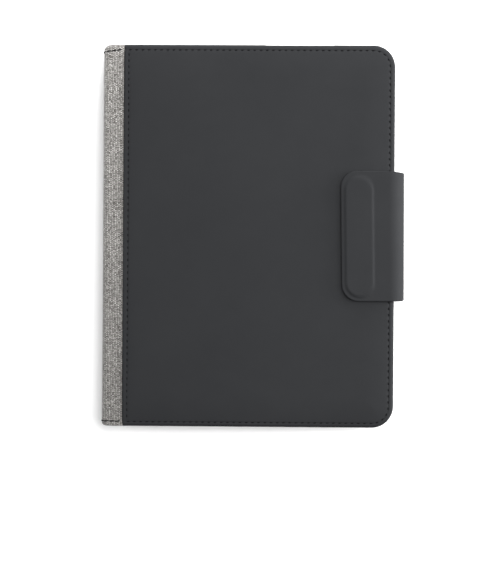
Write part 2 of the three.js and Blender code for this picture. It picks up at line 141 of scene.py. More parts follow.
table_finish, nodes, links, table_shader = new_finish("white_table")
table_shader.inputs["Base Color"].default_value = table_white
table_shader.inputs["Roughness"].default_value = 0.9
table_shader.inputs["Specular IOR Level"].default_value = 0.0
table_shader.inputs["Emission Color"].default_value = room_white
glow = nodes.new("ShaderNodeMath")
glow.operation = "MULTIPLY"
glow.inputs[1].default_value = table_glow
links.new(seen_directly(nodes, links), glow.inputs[0])
links.new(glow.outputs[0], table_shader.inputs["Emission Strength"])
table_mesh.materials.append(table_finish)

# Boards of the two covers and of the spine, cut from bookbinder's greyboard. The front
# cover also has a thick foam spacer with bays for the charger. All are hidden inside.
mm = 0.001
greyboard_tones = [(0.30, (0.20, 0.19, 0.17)), (0.70, (0.31, 0.30, 0.27))]
foam_tones = [(0.35, (0.075, 0.075, 0.078)), (0.65, (0.12, 0.12, 0.12))]
roughness_spread = 0.06
corner_rows = 10
rounding_rows = 4
weld_distance = 0.002


def tone_ramp(nodes, links, value, tones):
    """Colours a value between 0 and 1 by a list of (place, colour)."""
    ramp = nodes.new("ShaderNodeValToRGB")
    while len(ramp.color_ramp.elements) < len(tones):
        ramp.color_ramp.elements.new(0.5)
    for stop, (place, colour) in zip(ramp.color_ramp.elements, tones):
        stop.position = place
        stop.color = (*colour, 1.0)
    links.new(value, ramp.inputs["Fac"])
    return ramp.outputs["Color"]


def scaled_place(nodes, links, scale, middle=(0.0, 0.0, 0.0)):
    """A place on the piece from this middle, with each of its axes scaled."""
    place = nodes.new("ShaderNodeMapping")
    place.inputs["Location"].default_value = tuple(-c for c in middle)
    place.inputs["Scale"].default_value = scale
    links.new(nodes.new("ShaderNodeTexCoord").outputs["Object"], place.inputs["Vector"])
    return place.outputs["Vector"]


def noise_node(nodes, links, size, detail=3.0, stretch=(1.0, 1.0, 1.0)):
    """Noise whose features are about this many millimetres across."""
    place = scaled_place(nodes, links, tuple(s / (size * mm) for s in stretch))
    grain = nodes.new("ShaderNodeTexNoise")
    grain.inputs["Scale"].default_value = 1.0
    grain.inputs["Detail"].default_value = detail
    links.new(place, grain.inputs["Vector"])
    return grain.outputs["Fac"]


def raise_surface(nodes, links, shader, height, depth, under=None):
    """Bumps a shader's surface by a height between 0 and 1, this many millimetres deep."""
    bump = nodes.new("ShaderNodeBump")
    bump.inputs["Strength"].default_value = 1.0
    bump.inputs["Distance"].default_value = depth * mm
    links.new(height, bump.inputs["Height"])
    if under is not None:
        links.new(under, bump.inputs["Normal"])
    links.new(bump.outputs["Normal"], shader.inputs["Normal"])
    return bump.outputs["Normal"]


def plain_finish(name, tones, tone_size, grain_size, grain_depth, roughness, metal=0.0,
                 stretch=(1.0, 1.0, 1.0), shine=0.5):
    """A finish with mottled colour and a fine grain in its surface. Sizes are in millimetres."""
    finish, nodes, links, shader = new_finish(name)
    mottle = noise_node(nodes, links, tone_size, stretch=stretch)
    links.new(tone_ramp(nodes, links, mottle, tones), shader.inputs["Base Color"])
    shader.inputs["Metallic"].default_value = metal
    shader.inputs["Specular IOR Level"].default_value = shine
    rough = nodes.new("ShaderNodeMapRange")
    rough.inputs["To Min"].default_value = roughness - roughness_spread
    rough.inputs["To Max"].default_value = roughness + roughness_spread
    grain = noise_node(nodes, links, grain_size, stretch=stretch)
    links.new(grain, rough.inputs["Value"])
    links.new(rough.outputs["Result"], shader.inputs["Roughness"])
    raise_surface(nodes, links, shader, grain, grain_depth)
    return finish


def dress(node_names, finish):
    """Gives CAD nodes their finish."""
    for node_name in node_names:
        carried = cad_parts[node_name]
        carried.data.materials.clear()
        carried.data.materials.append(finish)


def box_mm(node_name):
    """The lowest and the highest corner of a CAD node, in millimetres."""
    low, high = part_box(node_name)
    return Vector(low) / mm, Vector(high) / mm


def face_level(node_name, up):
    """The level of a CAD node's upper face (1) or of its lower one (-1)."""
    low, high = box_mm(node_name)
    return high.z if up > 0 else low.z


def soft_step(value):
    """Goes from 0 to 1 with a soft start and a soft end."""
    value = min(max(value, 0.0), 1.0)
    return value * value * (3 - 2 * value)


def add_mesh(name, points, faces, finish, smooth=True):
    """A new piece from points in millimetres."""
    mesh = bpy.data.meshes.new(name)
    mesh.from_pydata([tuple(c * mm for c in point) for point in points], [], faces)
    mesh.materials.append(finish)
    if smooth:
        mesh.shade_smooth()
    piece = bpy.data.objects.new(name, mesh)
    bpy.context.scene.collection.objects.link(piece)
    return piece


def weld(piece, distance, turn_outward=False):
    """Joins the points of a piece that lie within this many millimetres of each other."""
    joined = bmesh.new()
    joined.from_mesh(piece.data)
    bmesh.ops.remove_doubles(joined, verts=joined.verts, dist=distance * mm)
    if turn_outward:
        bmesh.ops.recalc_face_normals(joined, faces=joined.faces)
    joined.to_mesh(piece.data)
    joined.free()


def quarter_angles(steps, first=1):
    """Angles that divide a right angle into equal steps."""
    return [math.pi / 2 * k / steps for k in range(first, steps + 1)]


def slab_plan(t0, t1, y0, y1, radii, inset, open_start, columns, rows):
    """Rows of places that fill a panel's outline at an inset."""
    left, right = t0 + (0.0 if open_start else inset), t1 - inset
    foot, head = y0 + inset, y1 - inset
    corners = [max(radius - inset, 0.0) for radius in radii]
    zone = max(corners)
    rises = []
    if max(radii) > 0:
        rises = [zone * (1 - math.cos(a)) for a in quarter_angles(corner_rows, first=0)[:-1]]
    levels = [foot + rise for rise in rises]
    levels += [foot + zone + (head - foot - 2 * zone) * k / rows for k in range(rows + 1)]
    levels += [head - rise for rise in reversed(rises)]
    plan = []
    for y in levels:
        edge = min(y - foot, head - y)
        back = [r - math.sqrt(max(r * r - (r - edge) ** 2, 0.0)) if edge < r else 0.0
                for r in corners]
        start, end = left + back[0], right - back[1]
        plan.append([(start + (end - start) * k / columns, y) for k in range(columns + 1)])
    return plan


def soft_slab(name, t_range, y_range, thickness, place, finish, radii=(0.0, 0.0), rounding=0.15,
              step=3.0, lift=None, open_start=False, both=True):
    """A sheet with rounded edges, between two places along t and two along y.

    place(t, y, depth) sets where a point of it goes. The radii are those of its corners at
    the start and at the end. lift(t, y) raises its outer face, or both faces.
    """
    (t0, t1), (y0, y1) = t_range, y_range
    columns = max(2, round((t1 - t0) / step))
    rows = max(2, round((y1 - y0) / step))
    levels = [(rounding, 0.0)]
    levels += [(rounding * (1 - math.sin(a)), rounding * (1 - math.cos(a)))
               for a in quarter_angles(rounding_rows)]
    levels += [(inset, thickness - depth) for inset, depth in reversed(levels)]
    points, loops, faces = [], [], []

    def put(t, y, depth):
        raised = 0.0
        if lift is not None and (both or depth < thickness / 2):
            raised = lift(t, y)
        points.append(place(t, y, depth - raised))
        return len(points) - 1

    for number, (inset, depth) in enumerate(levels):
        plan = slab_plan(t0, t1, y0, y1, radii, inset, open_start, columns, rows)
        last = len(plan) - 1
        edge = [(0, k) for k in range(columns + 1)] + [(j, columns) for j in range(1, last + 1)]
        edge += [(last, k) for k in range(columns - 1, -1, -1)]
        if not open_start:
            edge += [(j, 0) for j in range(last - 1, 0, -1)]
        if number in (0, len(levels) - 1):
            index = [[put(t, y, depth) for t, y in row] for row in plan]
            for j in range(last):
                for k in range(columns):
                    faces.append((index[j][k], index[j][k + 1],
                                  index[j + 1][k + 1], index[j + 1][k]))
            loops.append([index[j][k] for j, k in edge])
        else:
            loops.append([put(*plan[j][k], depth) for j, k in edge])
    for one, two in zip(loops, loops[1:]):
        count = len(one) if not open_start else len(one) - 1
        for k in range(count):
            after = (k + 1) % len(one)
            faces.append((one[k], one[after], two[after], two[k]))
    piece = add_mesh(name, points, faces, finish)
    weld(piece, weld_distance, turn_outward=True)
    return piece


def level_place(level, up):
    """For a flat sheet whose outer face lies at this level and faces up (1) or down (-1)."""
    return lambda t, y, depth: (t, y, level - up * depth)


def settle(piece):
    """Applies the modifiers of a piece to its mesh."""
    graph = bpy.context.evaluated_depsgraph_get()
    mesh = bpy.data.meshes.new_from_object(piece.evaluated_get(graph))
    piece.modifiers.clear()
    piece.data = mesh
    return piece


def cut_out(piece, tool):
    """Cuts the shape of a tool out of a piece."""
    cut = piece.modifiers.new("cut_out", "BOOLEAN")
    cut.object = tool
    cut.solver = "EXACT"
    settle(piece)
    bpy.data.objects.remove(tool)


greyboard = plain_finish("greyboard", greyboard_tones, tone_size=2.5, grain_size=0.4,
                         grain_depth=0.05, roughness=0.9, shine=0.2)
foam_sheet = plain_finish("foam_sheet", foam_tones, tone_size=1.2, grain_size=0.5,
                          grain_depth=0.12, roughness=0.95, shine=0.1)
dress(["back_board", "front_board", "spine_board"], greyboard)
dress(["front_spacer"], foam_sheet)

# Padding: a sheet of foam glued to each cover's board. It is skived towards the three outer
# edges and pressed down along the seams, so that the cover swells a little inside them. The
# front one has an opening for the steel plate that holds the flap's magnets.
plan_corner = 13.0
upper_rounding = 2.2
leather_sheet = 0.6
front_swell, back_swell = 0.95, 0.40
swell_width = 17.0
swell_at_spine = 0.16
swell_from_cut = 9.0
seam_inset = 3.1
seam_skew = 0.3
seam_from_cut = 3.0
seam_depth = 0.22
seam_width = 0.42
seam_pucker = 0.25
cut_seam_end = 1.5
stitch_pitch = 3.75
foam_set_back = 1.2
foam_corner = 10.7
foam_rounding = 0.02
foam_step = 2.0
thinnest_foam = 0.05
plate_play = 0.3
opening_depth = 4.0


def edge_distance(x, y, end, half):
    """How far a place on a cover lies from its rounded outline."""
    corner_x, corner_y = end - plan_corner, half - plan_corner
    if x > corner_x and abs(y) > corner_y:
        return plan_corner - math.hypot(x - corner_x, abs(y) - corner_y)
    return min(end - x, half - abs(y))


def cover_drop(x, y, cut, end, half, swell):
    """How far the leatherette lies under its highest level, at a place away from its edges."""
    inset = edge_distance(x, y, end, half)
    from_cut = x - cut
    drop = math.hypot(
        swell * max(0.0, 1 - (inset - upper_rounding) / swell_width) ** 2,
        swell_at_spine * (1 - soft_step(from_cut / swell_from_cut)),
    )
    along = x if half - abs(y) < end - x else y
    pucker = 1 - seam_pucker + seam_pucker * math.cos(2 * math.pi * along / stitch_pitch)
    from_seam = edge_distance(x, y + seam_skew, end, half) - seam_inset
    edge_seam = math.exp(-((from_seam / seam_width) ** 2))
    cut_seam = math.exp(-(((from_cut - seam_from_cut) / seam_width) ** 2))
    cut_seam *= soft_step((inset - cut_seam_end) / cut_seam_end)
    return drop + seam_depth * pucker * max(edge_seam, cut_seam)


def foam_pad(name, cover_name, node_name, board_name, up, swell):
    """Foam between a cover's board and the underside of its leatherette."""
    cover_low, cover_high = box_mm(cover_name)
    low, high = box_mm(node_name)
    face = face_level(cover_name, up) - up * leather_sheet
    thickness = abs(face - face_level(board_name, up))

    def pressed(x, y):
        drop = cover_drop(x, y, cover_low.x, cover_high.x, cover_high.y, swell)
        return -min(drop, thickness - thinnest_foam)

    foam = soft_slab(name, (low.x, high.x - foam_set_back),
                     (low.y + foam_set_back, high.y - foam_set_back), thickness,
                     level_place(face, up), foam_sheet, radii=(0.0, foam_corner),
                     rounding=foam_rounding, step=foam_step, lift=pressed, both=False)
    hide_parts(node_name)
    return foam


back_foam = foam_pad("back_foam", "back_skin", "back_padding", "back_board", -1, back_swell)
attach(back_foam, "back_cover")
front_foam = foam_pad("front_foam", "front_skin", "front_padding", "front_board", 1, front_swell)
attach(front_foam, "front_cover")
plate_low, plate_high = box_mm("catch_plate")
opening_half = (plate_high.x - plate_low.x) / 2 + plate_play
opening = soft_slab("opening", (plate_low.x - plate_play, plate_high.x + plate_play),
                    (plate_low.y - plate_play, plate_high.y + plate_play), opening_depth,
                    level_place(plate_high.z + opening_depth / 2, 1), foam_sheet,
                    radii=(opening_half, opening_half), rounding=foam_rounding)
cut_out(front_foam, opening)

# Leatherette of the two covers: one soft-touch polyurethane sheet to a cover, stretched
# over the foam so that it swells a little inside its stitched edge, pulled round the
# board's edge and glued down on the inside. Along the spine it ends in a cut edge.
leather_tones = [(0.25, (0.0139, 0.0145, 0.0158)), (0.75, (0.0156, 0.0162, 0.0175))]
leather_shine = 0.08
leather_roughness = 0.68
cloud_size, pebble_size, ripple_size, polish_size = 38.0, 0.42, 7.0, 9.0
grain_depth = 0.018
least_corner = 3.0
head_columns, corner_columns, side_columns = 160, 20, 110
turned_in = 11.0
turned_in_rows = (7.0, 4.0)
lower_rounding = 1.4
upper_rows = 6
seam_rows_step, swell_rows_step, flat_rows_step = 0.2, 0.8, 2.4
seam_rows_end, swell_rows_end = 3.6, 22
cut_back = 0.25
cut_edge_waver, cut_edge_rate = 0.12, 0.11
cut_edge_width = 4.0
leather_slack, leather_slack_rate = 0.02, 0.035
leather_slack_start = 6
cover_weld_distance = 0.004


def grid_faces(rows, columns, flip=False):
    """Faces between points that stand in rows and columns."""
    faces = []
    for row in range(rows - 1):
        for column in range(columns - 1):
            a = row * columns + column
            face = (a, a + 1, a + columns + 1, a + columns)
            faces.append(face[::-1] if flip else face)
    return faces


def thicken(piece, thickness):
    """Makes a sheet of a surface, on the inner side of its faces."""
    sheet = piece.modifiers.new("thickness", "SOLIDIFY")
    sheet.thickness = thickness * mm
    sheet.offset = -1.0
    sheet.use_even_offset = True
    return settle(piece)


def cover_line(cut, end, half, inset):
    """The cover's outline at an inset: along the head, round the fore-edge and along the tail."""
    radius = min(max(plan_corner - inset, least_corner), max(half - inset, 0.0))
    x1, y1 = end - inset, half - inset
    line = [(cut + (x1 - radius - cut) * k / head_columns, y1) for k in range(head_columns)]
    line += [(x1 - radius + radius * math.sin(a), y1 - radius + radius * math.cos(a))
             for a in quarter_angles(corner_columns, first=0)[:-1]]
    line += [(x1, (y1 - radius) * (1 - k / side_columns)) for k in range(side_columns)]
    return line + [(x1, 0.0)] + [(x, -y) for x, y in reversed(line)]


def leather_cover(name, node_name, up, swell, finish):
    """The sheet of a cover, from its turned-in edge round the board and in to the middle.

    up is 1 for the front cover, whose outer face is its upper one, and -1 for the back.
    """
    low, high = box_mm(node_name)
    face = face_level(node_name, up)
    depth = high.z - low.z
    half, end = high.y, high.x
    rings = [(inset, depth) for inset in (turned_in, *turned_in_rows, lower_rounding)]
    for a in quarter_angles(rounding_rows):
        rings.append((lower_rounding * (1 - math.sin(a)),
                      depth - lower_rounding * (1 - math.cos(a))))
    rings.append((0.0, (depth - lower_rounding + swell + upper_rounding) / 2))
    for a in quarter_angles(upper_rows, first=0):
        rings.append((upper_rounding * (1 - math.cos(a)),
                      swell + upper_rounding * (1 - math.sin(a))))
    inset = upper_rounding + seam_rows_step
    while inset < half:
        rings.append((inset, None))
        if inset < seam_rows_end:
            inset += seam_rows_step
        else:
            inset += swell_rows_step if inset < swell_rows_end else flat_rows_step
    rings.append((half, None))
    points = []
    for inset, drop in rings:
        for x, y in cover_line(low.x, end, half, inset):
            fall = cover_drop(x, y, low.x, end, half, swell) if drop is None else drop
            if inset > leather_slack_start:
                fall += leather_slack * noise.noise(
                    Vector((x * leather_slack_rate, y * leather_slack_rate, up * 5.0)))
            waver = cut_edge_waver * noise.noise(Vector((3.0, y * cut_edge_rate, up)))
            lean = (1 - soft_step((x - low.x) / cut_edge_width)) * (waver + cut_back)
            points.append((x + lean, y, face - up * fall))
    columns = len(cover_line(low.x, end, half, 0.0))
    cover = add_mesh(name, points, grid_faces(len(rings), columns, flip=up > 0), finish)
    weld(cover, cover_weld_distance)
    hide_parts(node_name)
    return thicken(cover, leather_sheet)


def leather_finish(name, tones, roughness):
    """Soft-touch leatherette: a very fine pebbled grain, faint clouds of tone and a dull sheen."""
    finish, nodes, links, shader = new_finish(name)
    clouds = noise_node(nodes, links, cloud_size, detail=4.0)
    links.new(tone_ramp(nodes, links, clouds, tones), shader.inputs["Base Color"])
    place = scaled_place(nodes, links, (1 / (pebble_size * mm),) * 3)
    pebbles = nodes.new("ShaderNodeTexVoronoi")
    pebbles.feature = "SMOOTH_F1"
    pebbles.inputs["Scale"].default_value = 1.0
    links.new(place, pebbles.inputs["Vector"])
    rough = nodes.new("ShaderNodeMapRange")
    rough.inputs["To Min"].default_value = roughness - 0.05
    rough.inputs["To Max"].default_value = roughness + 0.07
    links.new(noise_node(nodes, links, polish_size), rough.inputs["Value"])
    links.new(rough.outputs["Result"], shader.inputs["Roughness"])
    shader.inputs["Specular IOR Level"].default_value = leather_shine
    ripple = noise_node(nodes, links, ripple_size)
    rippled = raise_surface(nodes, links, shader, ripple, grain_depth)
    raise_surface(nodes, links, shader, pebbles.outputs["Distance"], grain_depth, under=rippled)
    return finish


charcoal_leather = leather_finish("charcoal_leather", leather_tones, leather_roughness)
back_leather = leather_cover("back_leather", "back_skin", -1, back_swell, charcoal_leather)
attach(back_leather, "back_cover")
front_leather = leather_cover("front_leather", "front_skin", 1, front_swell, charcoal_leather)
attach(front_leather, "front_cover")

# The bezel of the charging socket sits in a slot in the front cover's wall at the head,
# cut through the leatherette with a round-ended punch.
bezel_low, bezel_high = box_mm("port_bezel")
punch_play = 0.1
punch_reach = 4
punch_steps = 32
radius = (bezel_high.z - bezel_low.z) / 2 + punch_play
flat = (bezel_high.x - bezel_low.x) / 2 + punch_play - radius
punch_line = []
for k in range(punch_steps):
    a = 2 * math.pi * k / punch_steps
    side = 1 if math.cos(a) >= 0 else -1
    punch_line.append((
        (bezel_low.x + bezel_high.x) / 2 + side * flat + radius * math.cos(a),
        (bezel_low.z + bezel_high.z) / 2 + radius * math.sin(a),
    ))
punch = add_mesh(
    "punch",
    [(x, y, z) for y in (bezel_low.y - punch_reach, bezel_high.y + punch_reach)
     for x, z in punch_line],
    [(k, k + punch_steps, (k + 1) % punch_steps + punch_steps, (k + 1) % punch_steps)
     for k in range(punch_steps)]
    + [tuple(range(punch_steps)), tuple(range(2 * punch_steps - 1, punch_steps - 1, -1))],
    charcoal_leather,
    smooth=False,
)
cut_out(front_leather, punch)

# Sewing thread: one black lockstitch row round each cover, another beside the
# spine, with each stitch a short bent length that dives into its two needle holes.
thread_tones = [(0.3, (0.0025, 0.0025, 0.0028)), (0.7, (0.0050, 0.0050, 0.0056))]
thread_radius = 0.36
stitch_length = 1.9
stitch_lean = 0.10
stitch_sides = 8
stitch_stations = (-1.0, -0.82, -0.4, 0.0, 0.4, 0.82, 1.0)
stitch_crown, stitch_dive, stitch_taper = 0.15, 0.95, 0.35
seam_past_cut = 0.6
seam_gap = 1.2
cut_seam_steps = 220


def stitch_row(name, line, finish, pitch=stitch_pitch, length=stitch_length,
               thread=thread_radius):
    """Stitches along a line of (place, outward direction)."""
    reach = [0.0]
    for (a, _), (b, _) in zip(line, line[1:]):
        reach.append(reach[-1] + (Vector(b) - Vector(a)).length)

    def at(distance):
        distance = min(max(distance, 0.0), reach[-1])
        low, high = 0, len(reach) - 1
        while high - low > 1:
            k = (low + high) // 2
            low, high = (k, high) if reach[k] <= distance else (low, k)
        share = (distance - reach[low]) / max(reach[high] - reach[low], 1e-9)
        return (Vector(line[low][0]).lerp(Vector(line[high][0]), share),
                Vector(line[low][1]).lerp(Vector(line[high][1]), share).normalized())

    count = int(reach[-1] / pitch)
    spare = (reach[-1] - count * pitch) / 2
    points, faces = [], []
    for stitch in range(count):
        middle = spare + (stitch + 0.5) * pitch
        start, _ = at(middle - length / 2)
        stop, _ = at(middle + length / 2)
        ahead = (stop - start).normalized()
        first = len(points)
        for share in stitch_stations:
            place, out = at(middle + share * length / 2)
            across = out.cross(ahead).normalized()
            rise = thread * (stitch_crown - stitch_dive * share ** 4)
            radius = thread * (1.0 - stitch_taper * share * share)
            centre = place + out * rise + across * stitch_lean * share
            for k in range(stitch_sides):
                a = 2 * math.pi * k / stitch_sides
                points.append(centre + across * radius * math.cos(a) + out * radius * math.sin(a))
        last = len(points) - stitch_sides
        for ring in range(first, last, stitch_sides):
            for k in range(stitch_sides):
                a, b = ring + k, ring + (k + 1) % stitch_sides
                faces.append((a, b, b + stitch_sides, a + stitch_sides))
        faces.append(tuple(first + k for k in range(stitch_sides - 1, -1, -1)))
        faces.append(tuple(last + k for k in range(stitch_sides)))
    return add_mesh(name, points, faces, finish)


def cover_seams(node_name, up, swell):
    """The seam round a cover's three edges, and the one beside its cut edge."""
    low, high = box_mm(node_name)
    face = face_level(node_name, up)
    half, end = high.y, high.x

    def on_leather(x, y):
        return (x, y, face - up * cover_drop(x, y, low.x, end, half, swell)), (0.0, 0.0, up)

    edge = [on_leather(x, y - seam_skew)
            for x, y in cover_line(low.x + seam_past_cut, end, half, seam_inset)]
    stop = half - seam_inset - seam_gap
    beside = [on_leather(low.x + seam_from_cut, stop - 2 * stop * k / cut_seam_steps)
              for k in range(cut_seam_steps + 1)]
    return edge, beside


black_thread = plain_finish("black_thread", thread_tones, tone_size=0.8, grain_size=0.12,
                            grain_depth=0.05, roughness=0.85, shine=0.05)
for body, node_name, up, swell in (
    ("back_cover", "back_skin", -1, back_swell),
    ("front_cover", "front_skin", 1, front_swell),
):
    for part, line in zip(("edge", "spine"), cover_seams(node_name, up, swell)):
        seam = stitch_row(f"{body}_{part}_stitches", line, black_thread)
        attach(seam, body)

# Woven fabric of the spine: one strip of thick melange plain weave, sewn down under the
# leatherette's cut edge. It is made in two halves that meet at the middle of the spine,
# and what turns in round the two ends of a cover's board is a piece of its own.
fabric_thick = 0.6
warp_pitch, weft_pitch = 1.0, 0.62
fabric_tones = [(0.36, (0.042, 0.037, 0.031)), (0.50, (0.185, 0.177, 0.166)),
                (0.64, (0.39, 0.38, 0.365))]
fleck_pitch = 0.95
yarn_spread = 7.31
warp_seed, weft_seed = 3.0, 40.0
weft_shade = 0.70
yarn_dip = 0.6
# Painted shade: the tone is darkened in the gaps between the yarns, down to gap_shade where a
# yarn's height falls to nothing.
gap_end, gap_shade = 0.62, 0.02
# Painted light: the fabric's tone is scaled up towards the head and down towards the tail, for
# light that falls more strongly at the head.
painted_light_at_head, painted_light_at_tail = 1.36, 0.98
fabric_roughness, fabric_shine = 0.92, 0.15
sheen_weight, sheen_roughness = 0.55, 0.5
fuzz_size, fuzz_depth = 0.18, 0.04
weave_depth = 0.22
weave_origin = (40.0, 300.0)
fabric_rows, half_columns = 96, 35
fabric_slack, fabric_slack_rates = 0.035, (0.25, 0.12)
crease = 3.0
valley_start, valley_width, valley_dip = 8.8, 3.0, 0.28
tongue_start, tongue_width, tongue_dip = 11.7, 1.2, 0.42
tongue_end = 15.0
tongue_short, tongue_short_start, tongue_short_width = 1.6, 12.5, 0.5
spine_hem, crease_hem = 3.3, 1.9
spine_turn, crease_turn = 2.8, 1.4
hem_radius = 0.4
cover_bend, bend_growth, bend_room = 1.1, 1.0, 0.45
cover_start, cover_width = 3.3, 2.2
spine_stop, spine_width = 2.4, 2.0
corner_width = 6.0
corner_fall_at_head, corner_fall_at_tail = 1.7, 0.5
end_wrap_start, end_turned_in = 4.9, 7.0
fabric_shift_at_head, fabric_shift_at_tail = 0.25, -0.35
fabric_stitch_pitch = 3.3
fabric_stitch_length = 3.45
fabric_thread_radius = 0.42
fabric_seam_end, fabric_seam_points = 9.2, 60
fabric_seam_at_head, fabric_seam_at_tail = 3.45, 3.40
fabric_seam_out = 0.4
seam_slope_at_head, seam_slope_at_tail = 1.6, 0.1
seam_slope_width = 12.3
spine_low, spine_high = box_mm("spine_fabric")
spine_face = spine_low.x
fabric_half = spine_high.y


def bent_path(x, z, heading, moves):
    """A line in X and Z made of (length, turn in degrees), and its whole length."""
    legs, heading = [], math.radians(heading)

    def go(x, z, heading, length, turn, distance):
        if turn == 0:
            return x + math.cos(heading) * distance, z + math.sin(heading) * distance, heading
        bend = math.radians(turn) / length
        after = heading + bend * distance
        return (x + (math.sin(after) - math.sin(heading)) / bend,
                z - (math.cos(after) - math.cos(heading)) / bend, after)

    for length, turn in moves:
        legs.append((x, z, heading, length, turn))
        x, z, heading = go(x, z, heading, length, turn, length)

    def at(distance):
        for leg in legs:
            if distance <= leg[3] or leg is legs[-1]:
                return go(*leg, distance)
            distance -= leg[3]

    return at, sum(length for length, _ in moves)


def quarter(radius, turn=90):
    """The length and the turn of a bend, for bent_path."""
    return math.radians(abs(turn)) * radius, turn


def calc(nodes, links, operation, first, second=None):
    """A node that calculates with sockets or numbers."""
    step = nodes.new("ShaderNodeMath")
    step.operation = operation
    for socket, value in zip(step.inputs, (first, second)):
        if value is None:
            continue
        if isinstance(value, (int, float)):
            socket.default_value = value
        else:
            links.new(value, socket)
    return step.outputs[0]


def melange_finish():
    """Plain weave: each yarn changes tone along its length, as spun from pale and dark fibres.
    Painted shade darkens the gaps between the yarns, and painted light makes the cloth lighter
    towards the head.
    """
    finish, nodes, links, shader = new_finish("melange_fabric")
    weave = nodes.new("ShaderNodeAttribute")
    weave.attribute_name = "weave"
    parts = nodes.new("ShaderNodeSeparateXYZ")
    links.new(weave.outputs["Vector"], parts.inputs["Vector"])
    across = calc(nodes, links, "DIVIDE", parts.outputs["X"], warp_pitch)
    along = calc(nodes, links, "DIVIDE", parts.outputs["Y"], weft_pitch)
    warp, weft = calc(nodes, links, "FLOOR", across), calc(nodes, links, "FLOOR", along)

    def yarn_tone(yarn, length, seed):
        place = nodes.new("ShaderNodeCombineXYZ")
        links.new(calc(nodes, links, "MULTIPLY", yarn, yarn_spread), place.inputs["X"])
        links.new(calc(nodes, links, "DIVIDE", length, fleck_pitch), place.inputs["Y"])
        place.inputs["Z"].default_value = seed
        tone = nodes.new("ShaderNodeTexNoise")
        tone.inputs["Scale"].default_value = 1.0
        tone.inputs["Detail"].default_value = 3.0
        links.new(place.outputs["Vector"], tone.inputs["Vector"])
        return tone_ramp(nodes, links, tone.outputs["Fac"], fabric_tones)

    over = calc(nodes, links, "MODULO", calc(nodes, links, "ADD", warp, weft), 2.0)
    over = calc(nodes, links, "ABSOLUTE", over)
    tone = nodes.new("ShaderNodeMix")
    tone.data_type = "RGBA"
    links.new(over, tone.inputs["Factor"])
    darker = nodes.new("ShaderNodeVectorMath")
    darker.operation = "SCALE"
    darker.inputs["Scale"].default_value = weft_shade
    links.new(yarn_tone(weft, across, weft_seed), darker.inputs["Vector"])
    links.new(darker.outputs["Vector"], tone.inputs[6])
    links.new(yarn_tone(warp, along, warp_seed), tone.inputs[7])

    def crown(value):
        share = calc(nodes, links, "FRACT", value)
        return calc(nodes, links, "SINE", calc(nodes, links, "MULTIPLY", share, math.pi))

    def crossing(side, other):
        """Height of a yarn's crown, which rises over the middle of the yarn that it crosses."""
        rise = calc(nodes, links, "MULTIPLY", other, yarn_dip)
        rise = calc(nodes, links, "ADD", rise, 1 - yarn_dip)
        return calc(nodes, links, "MULTIPLY", side, rise)

    side_warp, side_weft = crown(across), crown(along)
    warp_height = crossing(side_warp, side_weft)
    weft_height = crossing(side_weft, side_warp)
    height = nodes.new("ShaderNodeMix")
    links.new(over, height.inputs["Factor"])
    links.new(weft_height, height.inputs["A"])
    links.new(warp_height, height.inputs["B"])
    # Painted shade: the yarn height darkens the tone in the gaps between the yarns.
    painted_gap_shade = nodes.new("ShaderNodeMapRange")
    painted_gap_shade.inputs["From Max"].default_value = gap_end
    painted_gap_shade.inputs["To Min"].default_value = gap_shade
    links.new(height.outputs["Result"], painted_gap_shade.inputs["Value"])
    # Painted light: the tone is made lighter towards the head and darker towards the tail, along
    # the piece's Y.
    ends = nodes.new("ShaderNodeSeparateXYZ")
    links.new(nodes.new("ShaderNodeTexCoord").outputs["Object"], ends.inputs["Vector"])
    painted_light_fall = nodes.new("ShaderNodeMapRange")
    painted_light_fall.inputs["From Min"].default_value = -fabric_half * mm
    painted_light_fall.inputs["From Max"].default_value = fabric_half * mm
    painted_light_fall.inputs["To Min"].default_value = painted_light_at_tail
    painted_light_fall.inputs["To Max"].default_value = painted_light_at_head
    links.new(ends.outputs["Y"], painted_light_fall.inputs["Value"])
    shade = nodes.new("ShaderNodeVectorMath")
    shade.operation = "SCALE"
    links.new(tone.outputs[2], shade.inputs["Vector"])
    links.new(calc(nodes, links, "MULTIPLY", painted_gap_shade.outputs["Result"], painted_light_fall.outputs["Result"]),
              shade.inputs["Scale"])
    links.new(shade.outputs["Vector"], shader.inputs["Base Color"])
    shader.inputs["Roughness"].default_value = fabric_roughness
    shader.inputs["Specular IOR Level"].default_value = fabric_shine
    shader.inputs["Sheen Weight"].default_value = sheen_weight
    shader.inputs["Sheen Roughness"].default_value = sheen_roughness
    fuzz = noise_node(nodes, links, fuzz_size)
    fuzzed = raise_surface(nodes, links, shader, fuzz, fuzz_depth)
    raise_surface(nodes, links, shader, height.outputs["Result"], weave_depth, under=fuzzed)
    return finish


def fabric_section(up):
    """The strip's path from the middle of the spine round a crease and onto the cover.

    Gives the path, its length, its straight run on the spine, and its level on the cover.
    """
    level = face_level("front_fabric" if up > 0 else "back_fabric", up)
    middle = (spine_low.z + spine_high.z) / 2
    straight = abs(level - up * crease - middle)
    path, length = bent_path(spine_face, middle, 90 * up, [
        (straight, 0), quarter(crease, -90 * up), (tongue_end - crease, 0)])
    return path, length, straight, level


def fabric_place(up, path, distance, depth):
    """A place on the fabric, this far under its outer face."""
    x, z, heading = path(distance)
    out = (-up * math.sin(heading), up * math.cos(heading))
    from_spine = x - spine_face
    dip = valley_dip * soft_step((from_spine - valley_start) / valley_width)
    dip += (tongue_dip - valley_dip) * soft_step((from_spine - tongue_start) / tongue_width)
    return x - out[0] * (depth + dip), z - out[1] * (depth + dip), out


def fabric_shift(y):
    """How far toward the head the strip lies here, between its shifts at the tail and the head."""
    middle = fabric_shift_at_head + fabric_shift_at_tail
    half = fabric_shift_at_head - fabric_shift_at_tail
    return (middle + half * y / fabric_half) / 2


def narrowing(from_spine):
    """How much the strip is drawn in at its tail and at its head, at a distance from the spine."""
    corner = max(0.0, 1 - from_spine / corner_width) ** 2
    under = tongue_short * soft_step((from_spine - tongue_short_start) / tongue_short_width)
    return corner_fall_at_tail * corner + under, corner_fall_at_head * corner + under


